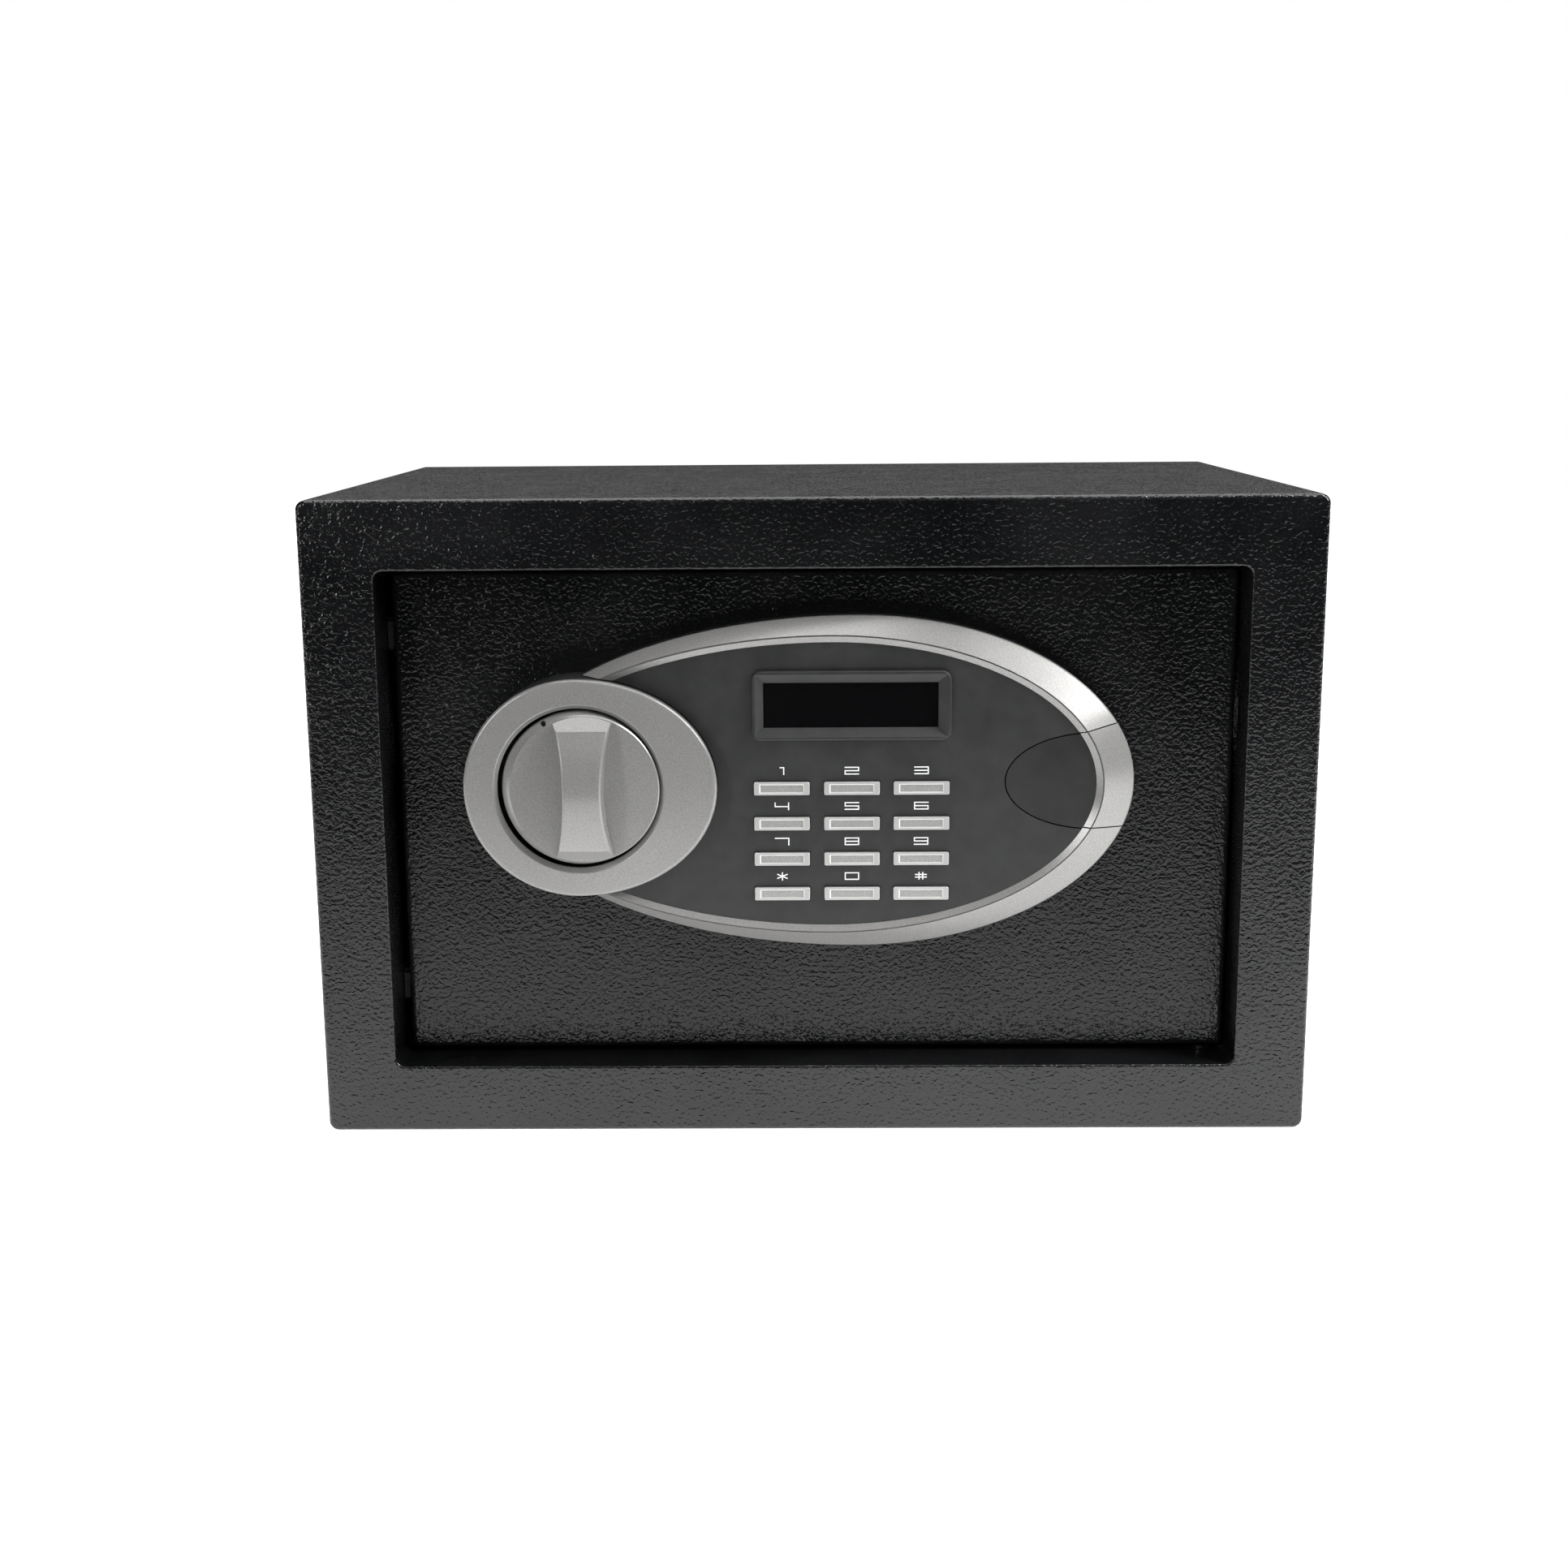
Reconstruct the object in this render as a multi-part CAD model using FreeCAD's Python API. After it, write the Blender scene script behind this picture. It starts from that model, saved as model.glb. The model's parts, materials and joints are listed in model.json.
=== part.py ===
import FreeCAD, Part
import math
import os
from FreeCAD import Vector

# In-room safe, millimetres. +Z is up, the door faces -Y, and the origin is the
# centre of the base face. Rest: door closed, bolts drawn back, grip bar upright.

# ---- cabinet ----
WIDTH = 310.0
HEIGHT = 200.0
DEPTH = 200.0
SHEET = 2.0
CORNER_R = 3.0
EDGE_R = 1.5
FRONT = -DEPTH / 2
BACK = DEPTH / 2
OPENING_W = 265.0
OPENING_LOW = 21.5
OPENING_HIGH = 178.5
OPENING_CORNER_R = 3.0
JAMB_DEPTH = 20.0
LIP_R = 0.8
MID_Z = HEIGHT / 2
MAT_THICK = 2.5
MAT_MARGIN = 3.0
ANCHOR_SPACING = 150.0
ANCHOR_R = 5.0
MAT_HOLE_R = 7.0
FLOOR_ANCHOR_Y = 20.0

# ---- door plate and its pivots ----
DOOR_LEFT = -130.0
DOOR_RIGHT = 131.5
DOOR_LOW = 23.0
DOOR_HIGH = 177.0
DOOR_FRONT = FRONT + 14.0
DOOR_THICK = 4.0
DOOR_REAR = DOOR_FRONT + DOOR_THICK
DOOR_CORNER_R = 2.0
DOOR_EDGE_R = 1.9
PIVOT_X = 125.0
PIVOT_Y = DOOR_FRONT + DOOR_THICK / 2
PIVOT_R = 3.0
PIVOT_FIT = 0.05
PIVOT_TANG_W = 8.0
PIVOT_TANG_H = 14.0
PIVOT_REACH = 8.5
BRACKET_W = 24.0
BRACKET_THICK = 4.0
BRACKET_REAR = FRONT + 24.0
STOP_HEIGHTS = (43.0, 157.0)
STOP_HALF = 5.0
STOP_TIP = -128.5
PAD_THICK = 1.8
PAD_INSET = 0.2
PIVOT_PLAY = 0.4

# ---- control panel on the door front ----
# An egg outline is (centre x, centre z, reach left, reach right, half height).
PANEL_EGG = (14.0, 111.7, 112.0, 85.4, 52.2)
FASCIA_EGG = (6.0, 111.8, 100.0, 81.3, 44.4)
KNOB_EGG = (-72.0, 112.1, 35.0, 42.8, 33.8)
CAP_EGG = (86.0, 112.8, 27.0, 27.0, 15.2)
HOLE_PLAY = 0.2
HOUSING_WALL = 2.0
HOUSING_FLOOR = 1.5
HOUSING_INSET = 0.2
PEDESTAL_INSET = 0.3
PANEL_BOSS_R = 4.0
PANEL_BOSS_GAP = 0.6
PANEL_THREAD = 6.0
BOARD_BOSS_R = 3.0
BOARD_THREAD_END = 0.4
LOCK_BOSS_WALL = 1.8
SLEEVE = 3.0
RING_BASE = FRONT + 6.6
RING_TOP = FRONT + 0.1
# Ring section as (share of the way in, share of the height): wall, edge chamfer, slope.
RING_SECTION = ((0.0, 0.0), (0.0, 0.14), (0.035, 0.21), (1.0, 1.0))
LIP_WIDTH = 2.1
GROOVE = 0.45
GROOVE_DEPTH = 0.6
LEDGE = 0.1
FASCIA_FACE = FRONT + 1.3
FASCIA_THICK = 2.0
FASCIA_SKIRT = 1.5
FASCIA_GAP = 0.1
BEZEL = (-18.5, 42.5, 126.1, 147.5)
BEZEL_R = 3.0
BEZEL_TOP = FRONT - 0.3
BEZEL_RIM = 1.0
BEZEL_EDGE_R = 0.5
OVERLAP = 0.5
WINDOW = (-15.0, 38.6, 129.8, 143.7)
WINDOW_FACE = FRONT + 1.8
WINDOW_THICK = 1.3
WINDOW_PLAY = 0.05
MODULE_GAP = 0.1
CAP_GAP = 0.4
CAP_WEDGE = ((76.0, 126.9), (112.0, 133.9), (112.0, 96.6), (76.0, 98.4))
CAP_BRIDGE = FRONT + 5.0
CAP_BRIDGE_REACH = 6.0
CAP_LEG_X = (73.0, 79.0)
CAP_LEG_THICK = 1.2
CAP_LEG_OFFSET = 12.3
CAP_LEG_LENGTH = 3.8

# ---- keys ----
KEY_COLUMNS = (-9.5, 12.1, 33.5)
KEY_ROWS = (111.0, 99.9, 88.7, 77.6)
KEY_NAMES = (("1", "2", "3"), ("4", "5", "6"), ("7", "8", "9"), ("star", "0", "hash"))
KEY_W = 17.1
KEY_H = 4.0
KEY_FACE = FRONT + 0.1
KEY_CLEARANCE = 0.2
KEY_FLANGE = 0.7
KEY_TRAVEL = 0.8
KEY_CORNER_R = 0.4
KEY_EDGE_R = 0.24
KEY_DISH = 0.35
KEY_DISH_END = 1.6
KEY_DISH_SIDE = 0.5
KEY_DISH_SLOPE = 0.45
KEY_FOOT = FRONT + 4.8
DOME_TOP = KEY_FOOT + KEY_TRAVEL + HOLE_PLAY
DOME_R = 1.9
MEMBRANE = (-20.0, 44.0, 74.4, 114.9)
MEMBRANE_THICK = 1.0

# ---- electronics behind the fascia ----
BOARD = (-28.0, 44.0, 75.5, 148.5)
BOARD_REAR = FRONT + 10.0
BOARD_THICK = 1.6
BOARD_FRONT = BOARD_REAR - BOARD_THICK
BOARD_SCREWS = ((-24.0, 80.0), (-24.0, 144.0), (1.3, 121.0), (22.8, 121.0))
BOARD_SCREW_R = 1.2
BOARD_SCREW_HEAD_R = 2.2
BOARD_SCREW_HEAD = 1.5
BOARD_SCREW_END = 0.6
MODULE = (-17.0, 40.5, 128.5, 146.0)
PANEL_SCREWS = ((-44.0, 142.0), (-44.0, 82.0), (56.0, 140.0), (56.0, 84.0))
SCREW_R = 2.0
SCREW_HEAD_R = 3.5
SCREW_HEAD = 2.2
PANEL_SCREW_END = 5.5
CABLE_HOLE = (-13.0, 82.0)
CABLE_HOLE_R = 9.0
GROMMET_LIP = 1.2
GROMMET_LIP_R = 10.5
GROMMET_HOLE_R = 6.5
LEAD_OFFSET = 3.5
LEAD_R = 1.6
LEAD_DROP = 20.0
LEAD_MID = FRONT + 26.0
LEAD_BENDS = (7.0, 3.5)
COIL_LEAD_BEND = 8.0
COIL_LEAD_RISE = 2.5

# ---- knob ----
KNOB_HOLE = (-71.65, 112.1)
KNOB_HOLE_R = 24.9
KNOB_CHAMFER = 1.75
KNOB_FUNNEL_DEPTH = 2.2
KNOB_RIM_R = 0.4
KNOB_AXIS = (-71.2, 112.3)
KNOB_PLATE_TOP = FRONT - 5.5
KNOB_PLATE_THICK = 3.0
KNOB_PLATE_REAR = KNOB_PLATE_TOP + KNOB_PLATE_THICK
KNOB_PLATE_DOME_R = 600.0
KNOB_PLATE_EDGE_R = 1.1
KNOB_PLATE_DOME_X = 4.0
KNOB_BODY_R = 24.0
KNOB_FLANK_R = 23.8
KNOB_FLANK_OFFSET = 0.2
KNOB_FLANK = KNOB_PLATE_TOP + 2.0
KNOB_FACE_R = 23.0
KNOB_FACE_OFFSET = 1.5
KNOB_FACE = KNOB_PLATE_TOP
KNOB_BEVEL = 0.35
KNOB_BACK = FRONT + 4.0
KNOB_HUB_R = 10.0
KNOB_HUB_END = FRONT + 11.0
BAR_HEIGHT = 8.5
BAR_ARCH = 4.6
BAR_WAIST = 11.8
BAR_END = 19.6
BAR_TOP_HALF = 18.5
BAR_FOOT_HALF = 23.8
BAR_EDGE_R = 0.9
BAR_ROOT = 1.0
DOT_R = 0.85
DOT_ANGLE = 120.5
DOT_RISE = 0.5
DOT_DEPTH = 2.5
SHAFT_R = 4.0
SHAFT_FRONT = FRONT - 3.0
BUSH_R = 7.0
BUSH_FIT = 0.05
BUSH_FLANGE = 1.0
BUSH_FLANGE_R = 9.0
BUSH_END_GAP = 0.4

# ---- locking mechanism behind the door plate ----
BOLT_R = 8.0
BOLT_FIT = 0.06
BOLT_Y = FRONT + 29.5
BOLT_HEIGHTS = (65.0, 135.0)
BOLT_TIP = -130.0
BOLT_THROW = 15.0
TAB_X = -97.0
TAB_THICK = 2.5
SPIGOT_R = 4.0
SPIGOT_LENGTH = 4.5
CARRIAGE_Y = FRONT + 37.5
CARRIAGE_THICK = 2.5
CARRIAGE_STRIP = (-101.0, -85.0, 53.0, 147.0)
CARRIAGE_ARM = (-90.0, 68.0, 104.0, 134.0)
TAB_REACH = 7.0
NOTCH_PLAY = 0.6
NOTCH_TOP_PLAY = 1.0
BOLT_TIP_R = 1.2
CRANK_Y = FRONT + 20.2
CRANK_THICK = 5.0
CRANK_DISC_R = 15.0
PIN_R = 3.0
PIN_SIDE_PLAY = 0.45
PIN_ARM = BOLT_THROW / math.sqrt(2.0)
PIN_END = FRONT + 41.5
PIN_END_PLAY = 0.2
CRANK_SCREW_R = 6.0
GUIDE_WEB_X = -120.0
GUIDE_THICK = 3.0
GUIDE_DEPTH = 26.0
GUIDE_FOOT = 13.0
GUIDE_LOW = 48.0
GUIDE_HIGH = 152.0
POSTS = ((-20.0, 119.0), (40.0, 119.0))
POST_R = 3.0
POST_SHOULDER_R = 5.0
POST_HEAD_R = 5.5
POST_PLAY = 0.2
POST_SHOULDER_GAP = 0.5
POST_END_GAP = 0.6
POST_HEAD = 1.5

# ---- solenoid ----
PLUNGER_X = 44.0
PLUNGER_Y = FRONT + 37.0
PLUNGER_R = 3.0
PLUNGER_HEAD_R = 4.0
PLUNGER_STROKE = 5.0
PLUNGER_HEAD_LOW = 94.0
PLUNGER_TOP = 101.5
RELEASE_TAB = 11.0
SOLENOID = (34.0, 54.0, 60.0, 90.0)
SOLENOID_FRONT = FRONT + 28.0
SOLENOID_REAR = FRONT + 46.0
SOLENOID_WALL = 2.0
SOLENOID_FOOT = 14.0
COIL_R = 6.5
PLUNGER_PLAY = 0.08
PLUNGER_TAIL = 6.0
BORE_FLOOR = 4.0
TAB_GAP = 0.5
SPRING_TURNS = 3
SPRING_WIRE_R = 0.35
SPRING_R = 3.6

# ---- emergency key lock ----
LOCK = (74.0, 112.8)
LOCK_FACE = FRONT + 5.0
LOCK_HEAD_R = 10.5
LOCK_HEAD = 2.5
LOCK_R = 9.5
LOCK_REAR = FRONT + 31.0
PLUG_R = 6.0
PLUG_FIT = 0.05
PLUG_TAIL_R = 4.0
CAM_THICK = 2.0
CAM_REACH = 24.0
CAM_HALF = 5.0
CAM_GAP = 0.3
CAM_HUB_R = 7.5
PLUG_PROUD = 0.2
PLUG_TAIL = 1.5
LOCK_EDGE_R = 0.8
KEYWAY = (1.4, 7.6, 12.0)
NUT_ACROSS = 24.0
NUT_THICK = 5.0

# ---- power and rear cover ----
CELL_R = 7.1
CELL_PITCH = 14.6
CELL_LENGTH = 48.5
CELL_NUB_R = 2.75
CELL_NUB = 1.5
CELL_GAP = 0.1
BATTERY_BOX = (-40.0, 22.0, 40.0, 98.0)
BATTERY_FRONT = FRONT + 34.0
BATTERY_WALL = 1.5
COVER = (-122.0, 110.0, 33.0, 167.0)
COVER_REAR = FRONT + 53.0
COVER_WALL = 1.5
COVER_FLANGE = 8.0
COVER_THREAD = 2.5
COVER_CORNER_R = 4.0
COVER_EDGE_R = 2.0
COVER_BOLT_PLAY = 0.8
BATTERY_LEDGE = 3.0
COVER_SCREW_END = 2.3
COVER_SCREWS = ((-110.0, 29.0), (98.0, 29.0), (-110.0, 171.0), (98.0, 171.0))
RESET = (90.0, 145.0)
RESET_R = 3.5
RESET_HOLE_PLAY = 0.15
RESET_PROUD = 1.2
RESET_EDGE_R = 0.6
RESET_LENGTH = 5.0
RESET_DEPTH = 6.0
SWITCH_HALF = 6.0
SWITCH_DEPTH = 7.5
BATTERY_COVER_THICK = 1.8
BATTERY_COVER_R = 3.0
BATTERY_COVER_EDGE_R = 0.8
COVER_RIM = 1.3
COVER_RIM_PLAY = 0.3
COVER_RIM_WALL = 1.5

Y_AXIS = Vector(0, 1, 0)
X_AXIS = Vector(1, 0, 0)
Z_AXIS = Vector(0, 0, 1)


def save(name, *solids):
    shape = solids[0] if len(solids) == 1 else Part.makeCompound(list(solids))
    shape.exportStep("parts/" + name + ".step")


def block(x0, x1, y0, y1, z0, z1):
    return Part.makeBox(x1 - x0, y1 - y0, z1 - z0, Vector(x0, y0, z0))


def slab(area, y0, y1, grow=0.0):
    """Box over an area (x0, x1, z0, z1), grown on its four sides."""
    x0, x1, z0, z1 = area
    return block(x0 - grow, x1 + grow, y0, y1, z0 - grow, z1 + grow)


def rod_y(place, radius, y0, y1):
    return Part.makeCylinder(radius, y1 - y0, Vector(place[0], y0, place[1]), Y_AXIS)


def rod_x(y, z, radius, x0, x1):
    return Part.makeCylinder(radius, x1 - x0, Vector(x0, y, z), X_AXIS)


def rod_z(x, y, radius, z0, z1):
    return Part.makeCylinder(radius, z1 - z0, Vector(x, y, z0), Z_AXIS)


def prism(points, y0, y1):
    """Straight-sided outline of (x, z) points, from y0 to y1."""
    wire = Part.makePolygon([Vector(x, y0, z) for x, z in points + points[:1]])
    return Part.Face(wire).extrude(Vector(0, y1 - y0, 0))


def rounded_slab(area, y0, y1, radius):
    solid = slab(area, y0, y1)
    corners = [e for e in solid.Edges if abs(e.tangentAt(e.FirstParameter).y) > 0.9]
    return solid.makeFillet(radius, corners)


def round_face_edges(solid, y, radius, inside=None):
    """Round the edges that lie in the plane at y, all of them or those of one area."""
    chosen = []
    for edge in solid.Edges:
        box = edge.BoundBox
        if abs(box.YMin - y) > 1e-4 or abs(box.YMax - y) > 1e-4:
            continue
        if inside is None or within(box, inside):
            chosen.append(edge)
    return solid.makeFillet(radius, chosen)


def within(box, area):
    x0, x1, z0, z1 = area
    return box.XMin > x0 and box.XMax < x1 and box.ZMin > z0 and box.ZMax < z1


def egg_wire(egg, y, grow=0.0):
    """Two half ellipses that share their height, in the plane at y."""
    cx, cz, left, right, half = egg
    centre = Vector(cx, cz, 0)
    quarter = math.pi / 2
    right_side = Part.Ellipse(centre, right + grow, half + grow)
    left_side = Part.Ellipse(centre, left + grow, half + grow)
    arcs = [
        Part.ArcOfEllipse(right_side, -quarter, quarter).toShape(),
        Part.ArcOfEllipse(left_side, quarter, 3 * quarter).toShape(),
    ]
    wire = Part.Wire(arcs)
    wire.rotate(Vector(0, 0, 0), X_AXIS, 90)
    wire.translate(Vector(0, y, 0))
    return wire


def egg_prism(egg, y0, y1, grow=0.0):
    return Part.Face(egg_wire(egg, y0, grow)).extrude(Vector(0, y1 - y0, 0))


def between_eggs(outer, inner, share):
    return tuple(a + (b - a) * share for a, b in zip(outer, inner))


def grown_egg(egg, grow):
    cx, cz, left, right, half = egg
    return (cx, cz, left + grow, right + grow, half + grow)


def obround(place, half_length, radius, y0, y1, along_x):
    """Slot shape centred at place, with round ends half_length either side of it."""
    x, z = place
    dx, dz = (half_length, 0.0) if along_x else (0.0, half_length)
    body = block(
        x - (dx or radius), x + (dx or radius), y0, y1, z - (dz or radius), z + (dz or radius)
    )
    ends = [rod_y((x + s * dx, z + s * dz), radius, y0, y1) for s in (-1, 1)]
    return body.fuse(ends).removeSplitter()


def screw(place, seat, tip, radius, head_r, head, into):
    """Pan-head screw. The head lies on the seat plane; into is -1 or +1 along Y."""
    shank = rod_y(place, radius, min(seat, tip), max(seat, tip))
    y0, y1 = sorted((seat, seat - into * head))
    cap = rod_y(place, head_r, y0, y1)
    outer = y0 if into > 0 else y1
    cap = round_face_edges(cap, outer, head * 0.4)
    drive = head_r * 0.6
    depth = head * 0.5
    cross_y0, cross_y1 = sorted((outer, outer + into * depth))
    bar = head_r * 0.12
    x, z = place
    cross = block(x - drive, x + drive, cross_y0, cross_y1, z - bar, z + bar)
    cross = cross.fuse(block(x - bar, x + bar, cross_y0, cross_y1, z - drive, z + drive))
    return cap.fuse(shank).cut(cross).removeSplitter()


# ---- cabinet ----

OUTER = (-WIDTH / 2, WIDTH / 2, 0.0, HEIGHT)
OPENING = (-OPENING_W / 2, OPENING_W / 2, OPENING_LOW, OPENING_HIGH)


def grown(area, grow):
    x0, x1, z0, z1 = area
    return (x0 - grow, x1 + grow, z0 - grow, z1 + grow)


def body_wrapper():
    y0 = FRONT + SHEET
    y1 = BACK - SHEET
    tube = rounded_slab(OUTER, y0, y1, CORNER_R)
    tube = tube.cut(rounded_slab(grown(OUTER, -SHEET), y0, y1, CORNER_R - SHEET))
    for side in (-1, 1):
        tube = tube.cut(rod_z(side * ANCHOR_SPACING / 2, FLOOR_ANCHOR_Y, ANCHOR_R, 0, SHEET))
    return tube


def front_frame():
    plate = rounded_slab(OUTER, FRONT, FRONT + SHEET, CORNER_R)
    jamb = rounded_slab(grown(OPENING, SHEET), FRONT, FRONT + JAMB_DEPTH, OPENING_CORNER_R + SHEET)
    hole = rounded_slab(OPENING, FRONT, FRONT + JAMB_DEPTH, OPENING_CORNER_R)
    frame = plate.fuse(jamb).cut(hole).removeSplitter()
    frame = round_face_edges(frame, FRONT, LIP_R, grown(OPENING, 1.0))
    frame = outer_edges_rounded(frame, FRONT)
    pivot_play = PIVOT_R + PIVOT_PLAY
    reach = SHEET + 1.0
    frame = frame.cut(rod_z(PIVOT_X, PIVOT_Y, pivot_play, OPENING_HIGH - 1, OPENING_HIGH + reach))
    return frame.cut(rod_z(PIVOT_X, PIVOT_Y, pivot_play, OPENING_LOW - reach, OPENING_LOW + 1))


def outer_edges_rounded(solid, y):
    """Round the outline edges of a cabinet face that lies in the plane at y."""
    inner = grown(OUTER, -CORNER_R - 1)
    chosen = []
    for edge in solid.Edges:
        box = edge.BoundBox
        flat = abs(box.YMin - y) < 1e-4 and abs(box.YMax - y) < 1e-4
        if flat and not within(box, inner):
            chosen.append(edge)
    return solid.makeFillet(EDGE_R, chosen)


def back_panel():
    panel = rounded_slab(OUTER, BACK - SHEET, BACK, CORNER_R)
    panel = outer_edges_rounded(panel, BACK)
    for side in (-1, 1):
        panel = panel.cut(rod_y((side * ANCHOR_SPACING / 2, MID_Z), ANCHOR_R, BACK - SHEET, BACK))
    return panel


def floor_mat():
    half = WIDTH / 2 - SHEET - MAT_MARGIN
    y0 = FRONT + SHEET + MAT_MARGIN
    y1 = BACK - SHEET - MAT_MARGIN
    mat = block(-half, half, y0, y1, SHEET, SHEET + MAT_THICK)
    for side in (-1, 1):
        x = side * ANCHOR_SPACING / 2
        mat = mat.cut(rod_z(x, FLOOR_ANCHOR_Y, MAT_HOLE_R, SHEET, SHEET + MAT_THICK))
    return mat


def hinge_brackets():
    x0 = PIVOT_X - BRACKET_W / 2
    x1 = PIVOT_X + BRACKET_W / 2
    top = OPENING_HIGH + SHEET
    low = OPENING_LOW - SHEET
    plates = []
    for z0, z1 in ((top, top + BRACKET_THICK), (low - BRACKET_THICK, low)):
        plate = block(x0, x1, FRONT + SHEET, BRACKET_REAR, z0, z1)
        plates.append(plate.cut(rod_z(PIVOT_X, PIVOT_Y, PIVOT_R + PIVOT_FIT, z0, z1)))
    return plates


def door_stops():
    x0 = OPENING[0] - SHEET
    y0 = FRONT + JAMB_DEPTH
    return [
        block(x0, STOP_TIP, y0, y0 + SHEET, z - STOP_HALF, z + STOP_HALF) for z in STOP_HEIGHTS
    ]


def stop_pads():
    y1 = FRONT + JAMB_DEPTH
    x0 = OPENING[0] + PAD_INSET
    x1 = STOP_TIP - HOLE_PLAY
    half = STOP_HALF - 1.0
    return [block(x0, x1, y1 - PAD_THICK, y1, z - half, z + half) for z in STOP_HEIGHTS]


# ---- door plate and what is fixed to it ----


def door_plate():
    area = (DOOR_LEFT, DOOR_RIGHT, DOOR_LOW, DOOR_HIGH)
    plate = rounded_slab(area, DOOR_FRONT, DOOR_REAR, DOOR_CORNER_R)
    plate = round_face_edges(plate, DOOR_FRONT, DOOR_EDGE_R)
    plate = plate.cut(rod_y(KNOB_AXIS, BUSH_R, DOOR_FRONT, DOOR_REAR))
    plate = plate.cut(rod_y(LOCK, LOCK_R + HOLE_PLAY, DOOR_FRONT, DOOR_REAR))
    plate = plate.cut(rod_y(CABLE_HOLE, CABLE_HOLE_R, DOOR_FRONT, DOOR_REAR))
    for place in PANEL_SCREWS:
        plate = plate.cut(rod_y(place, SCREW_R + HOLE_PLAY, DOOR_FRONT, DOOR_REAR))
    for place in COVER_SCREWS:
        plate = plate.cut(rod_y(place, SCREW_R, DOOR_REAR - COVER_THREAD, DOOR_REAR))
    half = PIVOT_TANG_W / 2
    for z0, z1 in ((DOOR_HIGH - PIVOT_TANG_H, DOOR_HIGH), (DOOR_LOW, DOOR_LOW + PIVOT_TANG_H)):
        plate = plate.cut(block(PIVOT_X - half, PIVOT_X + half, DOOR_FRONT, DOOR_REAR, z0, z1))
    return plate


def hinge_pivots():
    half = PIVOT_TANG_W / 2
    tang_high = DOOR_HIGH - PIVOT_TANG_H
    tang_low = DOOR_LOW + PIVOT_TANG_H
    top = block(PIVOT_X - half, PIVOT_X + half, DOOR_FRONT, DOOR_REAR, tang_high, DOOR_HIGH)
    top = round_face_edges_at_end(top, DOOR_HIGH)
    top = top.fuse(rod_z(PIVOT_X, PIVOT_Y, PIVOT_R, DOOR_HIGH, DOOR_HIGH + PIVOT_REACH))
    low = block(PIVOT_X - half, PIVOT_X + half, DOOR_FRONT, DOOR_REAR, DOOR_LOW, tang_low)
    low = round_face_edges_at_end(low, DOOR_LOW)
    low = low.fuse(rod_z(PIVOT_X, PIVOT_Y, PIVOT_R, DOOR_LOW - PIVOT_REACH, DOOR_LOW))
    return [top, low]


def round_face_edges_at_end(tang, z):
    """The tang's outer end follows the rounded front edge of the door plate."""
    ends = []
    for edge in tang.Edges:
        box = edge.BoundBox
        flat = abs(box.ZMin - z) < 1e-4 and abs(box.ZMax - z) < 1e-4
        if flat and abs(box.YMax - DOOR_FRONT) < 1e-4:
            ends.append(edge)
    return tang.makeFillet(DOOR_EDGE_R, ends)


def panel_housing():
    y1 = DOOR_FRONT
    pedestal = egg_prism(KNOB_EGG, KNOB_PLATE_REAR, y1, -PEDESTAL_INSET)
    tray = egg_prism(PANEL_EGG, RING_BASE, y1, -HOUSING_INSET)
    floor = y1 - HOUSING_FLOOR
    tray_hollow = egg_prism(PANEL_EGG, RING_BASE, floor, -HOUSING_INSET - HOUSING_WALL)
    tray_hollow = tray_hollow.cut(pedestal)
    pedestal_hollow = egg_prism(KNOB_EGG, KNOB_PLATE_REAR, floor, -PEDESTAL_INSET - HOUSING_WALL)
    solid = tray.fuse(pedestal).cut(tray_hollow).cut(pedestal_hollow)
    for place in PANEL_SCREWS:
        solid = solid.fuse(rod_y(place, PANEL_BOSS_R, RING_BASE - PANEL_BOSS_GAP, floor))
    for place in BOARD_SCREWS:
        solid = solid.fuse(rod_y(place, BOARD_BOSS_R, BOARD_REAR, floor))
    solid = solid.fuse(rod_y(LOCK, LOCK_R + LOCK_BOSS_WALL, LOCK_FACE + LOCK_HEAD, floor))
    for place in PANEL_SCREWS:
        solid = solid.cut(rod_y(place, SCREW_R, y1 - PANEL_THREAD, y1))
    for place in BOARD_SCREWS:
        solid = solid.cut(rod_y(place, BOARD_SCREW_R, BOARD_REAR, y1 - BOARD_THREAD_END))
    solid = solid.cut(rod_y(LOCK, LOCK_R + HOLE_PLAY, LOCK_FACE, y1))
    solid = solid.cut(rod_y(CABLE_HOLE, CABLE_HOLE_R, floor - SLEEVE, y1))
    return solid.cut(rod_y(KNOB_AXIS, BUSH_R, floor, y1)).removeSplitter()


def whole_ring():
    """The ring before its end segment is parted off: a sloping face and an inner lip."""
    crest = grown_egg(FASCIA_EGG, LIP_WIDTH)
    wires = []
    for inward, up in RING_SECTION:
        y = RING_BASE + (RING_TOP - RING_BASE) * up
        wires.append(egg_wire(between_eggs(PANEL_EGG, crest, inward), y))
    ring = Part.makeLoft(wires, True, True)
    dish = Part.makeLoft(
        [egg_wire(crest, RING_TOP - 0.01), egg_wire(FASCIA_EGG, FASCIA_FACE)], True, True
    )
    bottom = RING_TOP + GROOVE_DEPTH
    groove = egg_prism(crest, RING_TOP - LEDGE, bottom, GROOVE / 2)
    groove = groove.cut(egg_prism(crest, RING_TOP - LEDGE, bottom, -GROOVE / 2))
    hole = egg_prism(FASCIA_EGG, RING_TOP - 1.0, RING_BASE)
    knob_end = egg_prism(KNOB_EGG, RING_TOP - 1.0, RING_BASE)
    return ring.cut(dish).cut(groove).cut(hole).cut(knob_end)


def cap_zone():
    """Where the pull-off end of the ring is, over the full height of the ring."""
    wedge = prism(list(CAP_WEDGE), RING_TOP - 2.0, RING_BASE)
    seat = egg_prism(FASCIA_EGG, CAP_BRIDGE, RING_BASE + 1.0, CAP_BRIDGE_REACH)
    return wedge, seat


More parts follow.
